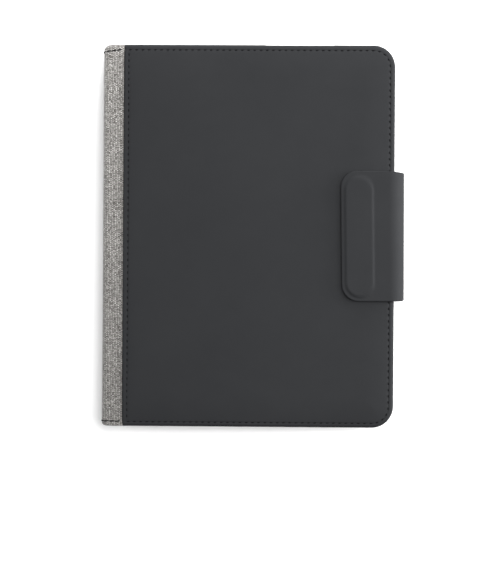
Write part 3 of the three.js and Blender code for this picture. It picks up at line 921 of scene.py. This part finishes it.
def strip_profile(on_cover, on_spine):
    """A row across the strip, from hem to hem, as pairs of a place along the spine and a depth."""
    end = fabric_half
    hem = crease_hem + (spine_hem - crease_hem) * on_spine
    turn = crease_turn + (spine_turn - crease_turn) * on_spine
    bend = min(cover_bend + bend_growth * (1 - on_cover), hem - bend_room)
    profile = [(end - turn, hem), (end - turn / 2 - hem_radius / 2, hem), (end - hem_radius, hem)]
    profile += [(end - hem_radius + hem_radius * math.sin(a),
                 hem - hem_radius + hem_radius * math.cos(a)) for a in quarter_angles(3)]
    profile += [(end, bend + (hem - hem_radius - bend) * k / 3) for k in (2, 1)]
    count = len(profile)
    profile = [(y + (end - y) * on_cover,
                depth + (bend + (hem - bend) * (count - k) / count - depth) * on_cover)
               for k, (y, depth) in enumerate(profile)]
    profile += [(end - bend + bend * math.cos(a), bend - bend * math.sin(a))
                for a in quarter_angles(6, first=0)]
    across = [((end - bend) * (1 - k / half_columns), 0.0) for k in range(1, 2 * half_columns)]
    return profile + across + [(-y, depth) for y, depth in reversed(profile)]


def turned_in_profile(depth):
    """The same for the cloth that goes down an end of a cover and this deep under its board."""
    end, down = fabric_half - hem_radius, depth - hem_radius
    profile = [(fabric_half, crease_hem + (down - crease_hem) * k / 6) for k in range(7)]
    profile += [(end + hem_radius * math.cos(a), down + hem_radius * math.sin(a))
                for a in quarter_angles(3)]
    return profile + [(end - (end_turned_in - hem_radius) * k / 4, depth) for k in range(1, 5)]


def reach_along(profile):
    """How far along a profile each of its points lies."""
    reach = [0.0]
    for one, two in zip(profile, profile[1:]):
        reach.append(reach[-1] + math.hypot(two[0] - one[0], two[1] - one[1]))
    return reach


def fabric_half_strip(name, up, finish):
    """Half of the strip, its turned-in ends, and its flat size. A row holds (place, weave)."""
    path, length, straight, _ = fabric_section(up)
    cover_low, cover_high = box_mm("front_fabric" if up > 0 else "back_fabric")
    rows, end_rows = [], []
    for station in range(fabric_rows + 1):
        s = length * station / fabric_rows
        from_spine = path(s)[0] - spine_face
        narrow = narrowing(from_spine)
        warp_at, weft_at = weave_origin[0] + up * s, weave_origin[1]
        on_cover = soft_step((from_spine - cover_start) / cover_width)
        on_spine = 1 - soft_step((s - straight + spine_stop) / spine_width)
        profile = strip_profile(on_cover, on_spine)
        reach = reach_along(profile)
        rows.append([])
        for (y, depth), along in zip(profile, reach):
            depth += fabric_slack * noise.noise(
                Vector((s * fabric_slack_rates[0], y * fabric_slack_rates[1], up * 7.0)))
            x, z, _ = fabric_place(up, path, s, depth)
            y = y * (1 - narrow[y > 0] / fabric_half) + fabric_shift(y)
            rows[-1].append(((x, y, z), (warp_at, weft_at - along, 0.0)))
        if from_spine <= end_wrap_start:
            continue
        end_rows.append([])
        profile = turned_in_profile(cover_high.z - cover_low.z)
        for side, start in ((1, 0.0), (-1, reach[-1])):
            turned = []
            for (y, depth), along in zip(profile, reach_along(profile)):
                x, z, _ = fabric_place(up, path, s, depth)
                y = side * y * (1 - narrow[side > 0] / fabric_half)
                turned.append(((x, y + fabric_shift(side * fabric_half), z),
                               (warp_at, weft_at - start + side * along, 0.0)))
            end_rows[-1] += turned[::-1] if side > 0 else turned
    faces = grid_faces(len(rows), len(rows[0]), flip=up < 0)
    strip = add_mesh(name, [place for row in rows for place, _ in row], faces, finish)
    count = len(end_rows[0])
    faces = [face for k, face in enumerate(grid_faces(len(end_rows), count, flip=up < 0))
             if k % (count - 1) != count // 2 - 1]
    ends = add_mesh(f"{name}_ends", [place for row in end_rows for place, _ in row], faces, finish)
    for sheet, sheet_rows in ((strip, rows), (ends, end_rows)):
        weave = [c for row in sheet_rows for _, threads in row for c in threads]
        sheet.data.attributes.new("weave", "FLOAT_VECTOR", "POINT")
        sheet.data.attributes["weave"].data.foreach_set("vector", weave)
        thicken(sheet, fabric_thick)
    return strip, ends, (length * mm, reach[-1] * mm)


def crease_ends(up):
    """Where the fabric's bend begins on the cover, and where it ends on the spine."""
    level = fabric_section(up)[3]
    return (((spine_face + crease) * mm, 0, level * mm),
            (spine_face * mm, 0, (level - up * crease) * mm))


melange = melange_finish()
for name, up, cover_body, node_name in (
    ("back_spine_fabric", -1, "back_cover", "back_fabric"),
    ("front_spine_fabric", 1, "front_cover", "front_fabric"),
):
    strip, ends, flat = fabric_half_strip(name, up, melange)
    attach(ends, cover_body)
    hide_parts(node_name)
    on_cover, on_spine = crease_ends(up)
    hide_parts(node_name, "spine_fabric")
    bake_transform(strip)
    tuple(on_cover)
    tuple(on_spine)
    path, _, straight, _ = fabric_section(up)
    for end, inset, slope in (
        (1, fabric_seam_at_head, seam_slope_at_head),
        (-1, fabric_seam_at_tail, seam_slope_at_tail),
    ):
        line = []
        for k in range(fabric_seam_points):
            s = (straight + quarter(crease)[0] + fabric_seam_end) * k / (fabric_seam_points - 1)
            x, z, out = fabric_place(up, path, s, 0.0)
            slant = 1 - min(max((x - spine_face) / seam_slope_width, 0.0), 1.0)
            y = end * (fabric_half + fabric_seam_out - inset - slope * slant)
            y += fabric_shift(y)
            line.append(((x, y, z), (out[0], 0.0, out[1])))
        seam = stitch_row(
            f"{name}_{'head' if end > 0 else 'tail'}_stitches", line, black_thread,
            pitch=fabric_stitch_pitch, length=fabric_stitch_length, thread=fabric_thread_radius,
        )
        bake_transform(seam)
        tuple(on_cover)
        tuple(on_spine)

# Lining of the covers: a thin matt leatherette sheet glued over the turned-in rims, which
# show through it as a soft step, and folded down the board's edge at the crease.
lining_tones = [(0.3, (0.029, 0.030, 0.033)), (0.7, (0.033, 0.034, 0.0375))]
lining_roughness = 0.62
lining_sheet = 0.5
lining_rounding = 0.16
lining_corner = 9.5
lining_step = 1.6
rim_step, rim_start, rim_width = 0.22, 7.6, 1.6
lip_sheet = 0.3
lip_width = 2.6
lip_out, lip_short = 0.1, 0.2
fold_radius = 0.5
fold_rounding, fold_step = 0.1, 0.8


def path_place(path, side):
    """For a sheet bent along a path, whose outer face is on the path's left (1) or right (-1)."""
    def place(t, y, depth):
        x, z, heading = path(t)
        return x + side * math.sin(heading) * depth, y, z - side * math.cos(heading) * depth
    return place


charcoal_lining = leather_finish("charcoal_lining", lining_tones, lining_roughness)
for name, body, node_name, up in (
    ("back_inner_lining", "back_cover", "back_lining", 1),
    ("front_inner_lining", "front_cover", "front_lining", -1),
):
    low, high = box_mm(node_name)
    level = face_level(node_name, up)

    def rim_lift(t, y):
        inset = min(high.x - t, high.y - abs(y))
        return -rim_step * soft_step((inset - rim_start) / rim_width)

    sheet = soft_slab(name, (low.x, high.x), (low.y, high.y), lining_sheet, level_place(level, up),
                      charcoal_lining, radii=(0.0, lining_corner), rounding=lining_rounding,
                      step=lining_step, lift=rim_lift)
    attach(sheet, body)
    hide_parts(node_name)
    drop = abs(level - face_level("back_board" if up > 0 else "front_board", -up)) - lip_short
    path, length = bent_path(low.x + lip_width, level + up * lip_sheet, 180, [
        (lip_width + lip_out, 0), quarter(fold_radius, 90 * up), (drop - fold_radius, 0)])
    lip = soft_slab(f"{name}_lip", (0.0, length), (low.y, high.y), lip_sheet,
                    path_place(path, -up), charcoal_lining, rounding=fold_rounding, step=fold_step)
    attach(lip, body)

# Lining of the spine: folded round both edges of the spine board, with a strip glued to
# the fabric's inner side in each crease, so that the case opens flat.
spine_board_low, spine_board_high = box_mm("spine_board")
lining_low, lining_high = box_mm("spine_lining")
fold_out = lip_sheet + 0.05
fold_start, fold_short = 0.2, 0.35
floor_radius = 1.9
floor_on_cover, floor_on_spine = 1.2, 0.2
board_width = spine_board_high.x - spine_board_low.x
board_height = spine_board_high.z - spine_board_low.z
path, length = bent_path(spine_board_low.x + fold_start, spine_board_low.z - fold_out, 0, [
    (board_width - fold_short, 0), quarter(fold_radius),
    (board_height + 2 * fold_out - 2 * fold_radius, 0), quarter(fold_radius),
    (board_width - fold_short, 0)])
spine_inner = soft_slab("spine_inner_lining", (0.0, length), (lining_low.y, lining_high.y),
                        lip_sheet, path_place(path, -1), charcoal_lining,
                        rounding=fold_rounding, step=fold_step)
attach(spine_inner, "spine")
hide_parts("spine_lining")
for name, body, up in (
    ("back_crease_lining", "back_cover", -1),
    ("front_crease_lining", "front_cover", 1),
):
    level = fabric_section(up)[3] - up * (crease - floor_radius)
    path, length = bent_path(spine_face + crease + floor_on_cover, level, 180, [
        (floor_on_cover, 0), quarter(floor_radius, 90 * up), (floor_on_spine, 0)])
    floor = soft_slab(name, (0.0, length), (lining_low.y, lining_high.y), lip_sheet,
                      path_place(path, up), charcoal_lining, rounding=fold_rounding, step=fold_step)
    on_cover, on_spine = crease_ends(up)
    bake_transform(floor)
    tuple(on_cover)
    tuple(on_spine)

# Sleeve for the pad: a leatherette panel sewn to the back lining along the fore-edge side
# and the tail. The pad's back card slides in from the head.
sleeve_sheet = 0.6
sleeve_flange = 3.0
sleeve_corner = 2.5
sleeve_rounding, sleeve_step = 0.2, 0.9
flange_step = 1.1
sleeve_seam_inset = 1
sleeve_seam_steps = 60
sleeve_low, sleeve_high = box_mm("pad_sleeve")


def sleeve_lift(t, y):
    """Presses the panel down onto the lining along its fore-edge side and its tail."""
    past_side = soft_step((t - (sleeve_high.x - sleeve_flange)) / flange_step)
    past_tail = soft_step(((sleeve_low.y + sleeve_flange) - y) / flange_step)
    drop = sleeve_high.z - sleeve_low.z - sleeve_sheet
    return -drop * max(past_side, past_tail)


sleeve = soft_slab("pad_sleeve_panel", (sleeve_low.x, sleeve_high.x),
                   (sleeve_low.y, sleeve_high.y), sleeve_sheet, level_place(sleeve_high.z, 1),
                   charcoal_lining, radii=(0.0, sleeve_corner), rounding=sleeve_rounding,
                   step=sleeve_step, lift=sleeve_lift)
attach(sleeve, "back_cover")
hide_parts("pad_sleeve")
flange_top = sleeve_low.z + sleeve_sheet
seam_x, seam_y = sleeve_high.x - sleeve_seam_inset, sleeve_low.y + sleeve_seam_inset
down_run = sleeve_high.y - 2 * sleeve_seam_inset - seam_y
back_run = seam_x - sleeve_low.x - sleeve_seam_inset
sleeve_line = [
    ((seam_x, sleeve_high.y - sleeve_seam_inset - k * down_run / sleeve_seam_steps, flange_top),
     (0, 0, 1)) for k in range(sleeve_seam_steps)]
sleeve_line += [((seam_x - k * back_run / sleeve_seam_steps, seam_y, flange_top), (0, 0, 1))
                for k in range(sleeve_seam_steps + 1)]
sleeve_seam = stitch_row("pad_sleeve_stitches", sleeve_line, black_thread)
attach(sleeve_seam, "back_cover")

# Pen loop: a length of black woven elastic with fine slanting ribs, folded round and sewn
# to the back cover's lining at the fore-edge.
elastic_tones = [(0.3, (0.014, 0.014, 0.015)), (0.7, (0.027, 0.027, 0.029))]
loop_low, loop_high = box_mm("pen_loop")
loop_wall = 1.0
loop_rounding = 3.0
loop_soft = 0.3
loop_corner_points = 9
elastic_roughness = 0.85
elastic_fleck = 0.5
elastic_fuzz, elastic_fuzz_depth = 0.2, 0.05
rib_pitch, rib_depth, rib_waver = 0.9, 0.12, 0.4
rib_scale = 1 / (20 * rib_pitch * mm) * 6.2


def elastic_finish():
    """Black woven elastic with fine slanting ribs."""
    finish, nodes, links, shader = new_finish("ribbed_elastic")
    place = nodes.new("ShaderNodeTexCoord").outputs["Object"]
    flecks = noise_node(nodes, links, elastic_fleck)
    links.new(tone_ramp(nodes, links, flecks, elastic_tones), shader.inputs["Base Color"])
    shader.inputs["Roughness"].default_value = elastic_roughness
    ribs = nodes.new("ShaderNodeTexWave")
    ribs.bands_direction = "DIAGONAL"
    ribs.inputs["Scale"].default_value = rib_scale
    ribs.inputs["Distortion"].default_value = rib_waver
    links.new(place, ribs.inputs["Vector"])
    fuzz = noise_node(nodes, links, elastic_fuzz)
    fuzzed = raise_surface(nodes, links, shader, fuzz, elastic_fuzz_depth)
    raise_surface(nodes, links, shader, ribs.outputs["Fac"], rib_depth, under=fuzzed)
    return finish


def rounded_square(centre, half_side, radius):
    """The outline of a square with round corners."""
    line = []
    for corner in range(4):
        turn = corner * math.pi / 2
        cx = (half_side - radius) * (math.cos(turn) - math.sin(turn))
        cz = (half_side - radius) * (math.sin(turn) + math.cos(turn))
        for bend in quarter_angles(loop_corner_points - 1, first=0):
            a = turn + bend
            line.append((centre[0] + cx + radius * math.cos(a),
                         centre[1] + cz + radius * math.sin(a)))
    return line


ribbed_elastic = elastic_finish()
loop_centre = ((loop_low.x + loop_high.x) / 2, (loop_low.z + loop_high.z) / 2)
loop_half = (loop_high.x - loop_low.x) / 2
loop_rings = [
    (0.0, loop_low.y + loop_soft), (0.0, loop_high.y - loop_soft), (loop_soft, loop_high.y),
    (loop_wall - loop_soft, loop_high.y), (loop_wall, loop_high.y - loop_soft),
    (loop_wall, loop_low.y + loop_soft), (loop_wall - loop_soft, loop_low.y),
    (loop_soft, loop_low.y),
]
loop_points = [
    (x, y, z) for depth, y in loop_rings
    for x, z in rounded_square(loop_centre, loop_half - depth, loop_rounding - depth)]
around = len(loop_points) // len(loop_rings)
loop_faces = []
for ring in range(len(loop_rings)):
    for k in range(around):
        a, b = ring * around + k, ring * around + (k + 1) % around
        shift = ((ring + 1) % len(loop_rings) - ring) * around
        loop_faces.append((b, a, a + shift, b + shift))
loop = add_mesh("elastic_pen_loop", loop_points, loop_faces, ribbed_elastic)
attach(loop, "back_cover")
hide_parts("pen_loop")

# Writing pad: sheets of cream paper sewn in sections between two dark cards, with a strip
# of black binding cloth glued over the spine edge. The back card goes into the sleeve.
paper_tones = [(0.3, (0.80, 0.775, 0.69)), (0.7, (0.86, 0.84, 0.765))]
card_tones = [(0.3, (0.115, 0.105, 0.096)), (0.7, (0.155, 0.145, 0.134))]
leaves_in_section = 8
leaf_shift, leaf_shift_down = 0.10, 0.9
leaf_gap = 0.006
leaf_waver, leaf_waver_rate, leaf_waver_rise = 0.04, 0.03, 9.0
leaf_bound = 1.0
leaf_side_steps = 18
card_corner = 1.0
card_rounding, card_step = 0.12, 8.0
binding_cloth, binding_short = 0.33, 0.6
pad_seed = 11
paper = plain_finish("cream_paper", paper_tones, tone_size=6.0, grain_size=0.25,
                     grain_depth=0.03, roughness=0.88, shine=0.2)
card = plain_finish("dark_card", card_tones, tone_size=0.7, grain_size=0.2,
                    grain_depth=0.03, roughness=0.78, shine=0.3)
random.seed(pad_seed)
for section in range(1, 6):
    low, high = box_mm(f"page_section_{section}")
    points, faces = [], []
    thick = (high.z - low.z) / leaves_in_section
    corners = ((low.x, low.y), (high.x, low.y), (high.x, high.y), (low.x, high.y))
    outline = []
    for (xa, ya), (xb, yb) in zip(corners, (*corners[1:], corners[0])):
        outline += [(xa + (xb - xa) * k / leaf_side_steps, ya + (yb - ya) * k / leaf_side_steps)
                    for k in range(leaf_side_steps)]
    for leaf in range(leaves_in_section):
        dx, dy = random.uniform(-leaf_shift, 0.0), random.uniform(-leaf_shift, leaf_shift)
        foot = low.z + leaf * thick
        first, count = len(points), len(outline)
        for level in (foot + leaf_gap, foot + thick - leaf_gap):
            for x, y in outline:
                lean = leaf_waver * noise.noise(
                    Vector((x * leaf_waver_rate, y * leaf_waver_rate, foot * leaf_waver_rise)))
                bound = x < low.x + leaf_bound
                points.append((x + (0.0 if bound else dx + lean),
                               y + dy * leaf_shift_down + lean, level))
        faces.append(tuple(first + k for k in range(count - 1, -1, -1)))
        faces.append(tuple(first + count + k for k in range(count)))
        for k in range(count):
            a, b = first + k, first + (k + 1) % count
            faces.append((a, b, b + count, a + count))
    leaves = add_mesh(f"section_{section}_leaves", points, faces, paper, smooth=False)
    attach(leaves, "pad")
    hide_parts(f"page_section_{section}")
for name, node_name, up in (
    ("back_card", "pad_back_card", -1),
    ("front_card", "pad_front_card", 1),
):
    low, high = box_mm(node_name)
    sheet = soft_slab(name, (low.x, high.x), (low.y, high.y), high.z - low.z,
                      level_place(face_level(node_name, up), up), card,
                      radii=(0.0, card_corner), rounding=card_rounding, step=card_step)
    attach(sheet, "pad")
    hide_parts(node_name)
low, high = box_mm("pad_binding")
path, length = bent_path(high.x, high.z, 180, [
    (high.x - low.x - fold_radius, 0), quarter(fold_radius),
    (high.z - low.z - binding_short, 0)])
binding = soft_slab("pad_binding_cloth", (0.0, length), (low.y, high.y), binding_cloth,
                    path_place(path, -1), ribbed_elastic, rounding=fold_rounding, step=fold_step)
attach(binding, "pad")
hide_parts("pad_binding")

# Card pockets inside the front cover: three stepped leatherette panels, sewn together
# to the lining down both sides and along the tail.
pocket_rounding, pocket_step = 0.14, 4.0
pocket_seam = 2.0
pocket_seam_step = 3.0
pocket_hem_steps, pocket_foot_steps, pocket_side_points = 80, 40, 8
pocket_boxes = [box_mm(f"card_pocket_{number}") for number in (1, 2, 3)]
for number, (low, high) in enumerate(pocket_boxes, start=1):
    pocket = soft_slab(f"pocket_panel_{number}", (low.x, high.x), (low.y, high.y), high.z - low.z,
                       level_place(low.z, -1), charcoal_lining, rounding=pocket_rounding,
                       step=pocket_step)
    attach(pocket, "front_cover")
    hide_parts(f"card_pocket_{number}")
    run = high.x - low.x - 2 * pocket_seam
    hem = [((low.x + pocket_seam + k * run / pocket_hem_steps, high.y - pocket_seam, low.z),
            (0, 0, -1)) for k in range(pocket_hem_steps + 1)]
    hem_seam = stitch_row(f"pocket_hem_{number}_stitches", hem, black_thread)
    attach(hem_seam, "front_cover")
low, high = pocket_boxes[2]
left, right, foot = low.x + pocket_seam, high.x - pocket_seam, low.y + pocket_seam
falls = [high.y - pocket_seam_step * (1 + k) for k in range(pocket_side_points)]
sides = [((left, y, low.z), (0, 0, -1)) for y in falls]
sides += [((left + k * (right - left) / pocket_foot_steps, foot, low.z), (0, 0, -1))
          for k in range(1, pocket_foot_steps)]
sides += [((right, y, low.z), (0, 0, -1)) for y in reversed(falls)]
side_seam = stitch_row("pocket_side_stitches", sides, black_thread)
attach(side_seam, "front_cover")

# Wireless charger: a flat coil on a ferrite sheet under the middle of the front cover, fed
# by a pouch cell and a small circuit board, in bays of the cover's board and spacer.
copper_tones = [(0.1, (0.10, 0.035, 0.012)), (0.6, (0.62, 0.27, 0.12))]
ferrite_tones = [(0.3, (0.018, 0.018, 0.019)), (0.7, (0.032, 0.032, 0.034))]
foil_tones = [(0.3, (0.42, 0.43, 0.45)), (0.7, (0.52, 0.53, 0.55))]
mask_tones = [(0.40, (0.006, 0.055, 0.026)), (0.55, (0.012, 0.10, 0.05))]
steel_tones = [(0.3, (0.40, 0.40, 0.41)), (0.7, (0.50, 0.50, 0.51))]
coil_low, coil_high = box_mm("charging_coil")
coil_middle = ((coil_low + coil_high) / 2) * mm
wire_pitch, wire_crown = 1.25, 0.35
copper_metal, copper_roughness = 0.9, 0.32


def coil_finish():
    """Enamelled copper wire: the turns show as fine rings round the coil's middle, with painted
    shade between them and a painted highlight along each crown.
    """
    finish, nodes, links, shader = new_finish("enamelled_copper")
    place = scaled_place(nodes, links, (1.0, 1.0, 0.0), (coil_middle.x, coil_middle.y, 0.0))
    reach = nodes.new("ShaderNodeVectorMath")
    reach.operation = "LENGTH"
    links.new(place, reach.inputs[0])
    turns = calc(nodes, links, "DIVIDE", reach.outputs["Value"], wire_pitch * mm)
    turns = calc(nodes, links, "FRACT", turns)
    crown = calc(nodes, links, "SINE", calc(nodes, links, "MULTIPLY", turns, math.pi))
    # Painted shade and highlight: each turn's tone is darker at its sides, between the turns, and
    # brighter along its crown.
    links.new(tone_ramp(nodes, links, crown, copper_tones), shader.inputs["Base Color"])
    shader.inputs["Metallic"].default_value = copper_metal
    shader.inputs["Roughness"].default_value = copper_roughness
    raise_surface(nodes, links, shader, crown, wire_crown)
    return finish


ferrite = plain_finish("ferrite", ferrite_tones, tone_size=3.0, grain_size=0.3,
                       grain_depth=0.02, roughness=0.55)
pouch_foil = plain_finish("pouch_foil", foil_tones, tone_size=7.0, grain_size=1.4,
                          grain_depth=0.06, roughness=0.38, metal=0.85)
solder_mask = plain_finish("solder_mask", mask_tones, tone_size=2.2, grain_size=0.6,
                           grain_depth=0.03, roughness=0.38)
plated_steel = plain_finish("plated_steel", steel_tones, tone_size=2.0, grain_size=0.25,
                            grain_depth=0.01, roughness=0.28, metal=1.0, stretch=(1.0, 6.0, 6.0))
dress(["charging_coil"], coil_finish())
dress(["ferrite_sheet"], ferrite)
dress(["battery_cell"], pouch_foil)
dress(["circuit_board"], solder_mask)
dress(["catch_plate", "flap_magnet_1", "flap_magnet_2", "socket_shell"], plated_steel)

# Bezel at the head of the front cover: a moulded black strip with the socket's mouth, a
# button and four small light pipes, pressed into its slot from outside.
moulded_tones = [(0.3, (0.009, 0.009, 0.010)), (0.7, (0.013, 0.013, 0.014))]
button_tones = [(0.3, (0.020, 0.020, 0.021)), (0.7, (0.028, 0.028, 0.029))]
pipe_tones = [(0.3, (0.72, 0.76, 0.80)), (0.7, (0.80, 0.84, 0.88))]
moulded_black = plain_finish("moulded_black", moulded_tones, tone_size=1.5, grain_size=0.10,
                             grain_depth=0.012, roughness=0.50, shine=0.15)
button_black = plain_finish("button_black", button_tones, tone_size=1.0, grain_size=0.12,
                            grain_depth=0.008, roughness=0.30)
clear_pipe = plain_finish("clear_pipe", pipe_tones, tone_size=0.8, grain_size=0.2,
                          grain_depth=0.005, roughness=0.15)
dress(["port_bezel", "socket_tongue", "controller_1", "controller_2", "button_switch",
       "flap_insert"], moulded_black)
dress(["power_button"], button_black)
dress(["light_pipes"], clear_pipe)

# Closing flap: a leatherette strap that leaves the back cover's fore-edge, wraps round the
# closed case and lies on the front cover. A moulded insert with two magnets is sealed
# inside its end and raises a long round-ended pad.
strap_thickness = 1.62
strap_rounding, strap_step = 0.55, 0.62
strap_corner = 10.0
root_inside = 1.1
root_dip = 40
root_landing = 15
pad_rise = 0.7
pad_slope = 1.5
pad_growth = 0.6
pad_shift = -0.35
strap_skew = 0.0155
strap_waist = 0.5
flap_lining_sheet = 0.36
flap_lining_inset = 2.4
flap_lining_sunk = 0.02
flap_lining_rounding, flap_lining_step = 0.12, 1.5
back_bend = 6.2
top_bend = 9.3
tip_low, tip_high = box_mm("flap_tip_skin")
strap_top = tip_high.z - pad_rise
strap_out = box_mm("flap_wall_skin")[1].x
landing, dip = math.radians(root_landing), math.radians(root_dip)
landing_x = strap_out - back_bend + back_bend * math.sin(landing)
landing_z = back_bend - back_bend * math.cos(landing)
entry_run = strap_out - back_bend - root_inside - landing_x
entry_bend = entry_run / (-math.sin(dip) - math.sin(landing))
entry_drop = entry_bend * (math.cos(landing) - math.cos(dip))
wall_run = strap_top - top_bend - back_bend
top_run = strap_out - top_bend - tip_low.x
strap_path, strap_length = bent_path(
    strap_out - back_bend - root_inside, landing_z + entry_drop, -root_dip, [
        quarter(entry_bend, root_dip + root_landing), quarter(back_bend, 90 - root_landing),
        (wall_run, 0), quarter(top_bend), (top_run, 0)])
strap_middle = strap_length - top_run - quarter(top_bend)[0] - wall_run / 2
pad_middle = strap_length - ((plate_low.x + plate_high.x) / 2 - tip_low.x) + pad_growth
pad_radius = (plate_high.x - plate_low.x) / 2 + pad_growth
pad_reach = plate_high.y + pad_growth - pad_radius


def pad_lift(t, y):
    """How far the leatherette stands up over the insert, with sloping sides."""
    inside = pad_radius - math.hypot(t - pad_middle, max(abs(y - pad_shift) - pad_reach, 0.0))
    return pad_rise * soft_step(inside / pad_slope)


strap_line = path_place(strap_path, -1)
half_strap = tip_high.y


def strap_place(t, y, depth):
    """The strap as it was sewn in: a little askew, and drawn in where it bends over the top."""
    x, _, z = strap_line(t, y, depth)
    past_wall = soft_step((t - strap_middle) / (quarter(top_bend)[0] + wall_run / 2))
    over_top = math.exp(-(((t - strap_middle - quarter(top_bend)[0] / 2) / top_bend) ** 2))
    return x - strap_skew * past_wall * y, y * (1 - strap_waist / half_strap * over_top), z


strap_parts = (
    ("flap_low", (strap_middle, 0.0), "back_cover", "flap_wall",
     ("flap_root_skin",), ("flap_root_lining",),
     (strap_out - back_bend, 0.0), (strap_out, back_bend)),
    ("flap_high", (strap_middle, strap_length), "flap_wall", "flap_tip",
     ("flap_tip_skin", "flap_wall_skin"), ("flap_tip_lining", "flap_wall_lining"),
     (strap_out, strap_top - top_bend), (strap_out - top_bend, strap_top)),
)
for name, (start, stop), near, far, skins, linings, bend_from, bend_to in strap_parts:
    forward = 1 if stop > start else -1

    def from_joint(t, y, depth, start=start, forward=forward):
        return strap_place(start + forward * t, y, depth)

    def backing_place(t, y, depth, put=from_joint):
        return put(t, y, strap_thickness + flap_lining_sheet - flap_lining_sunk - depth)

    def joint_lift(t, y, start=start, forward=forward):
        return pad_lift(start + forward * t, y)

    run = abs(stop - start)
    tip_corner = strap_corner if forward > 0 else 0.0
    strap = soft_slab(f"{name}_leather", (0.0, run), (-half_strap, half_strap), strap_thickness,
                      from_joint, charcoal_leather, radii=(0.0, tip_corner),
                      rounding=strap_rounding, step=strap_step, lift=joint_lift,
                      open_start=True, both=False)
    backing = soft_slab(
        f"{name}_backing", (0.0, run - flap_lining_inset),
        (flap_lining_inset - half_strap, half_strap - flap_lining_inset), flap_lining_sheet,
        backing_place, charcoal_lining, radii=(0.0, max(tip_corner - flap_lining_inset, 0.0)),
        rounding=flap_lining_rounding, step=flap_lining_step, open_start=True)
    for piece, replaced, slot_name in ((strap, skins, "leatherette"), (backing, linings, "lining")):
        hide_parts(*replaced)
        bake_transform(piece)
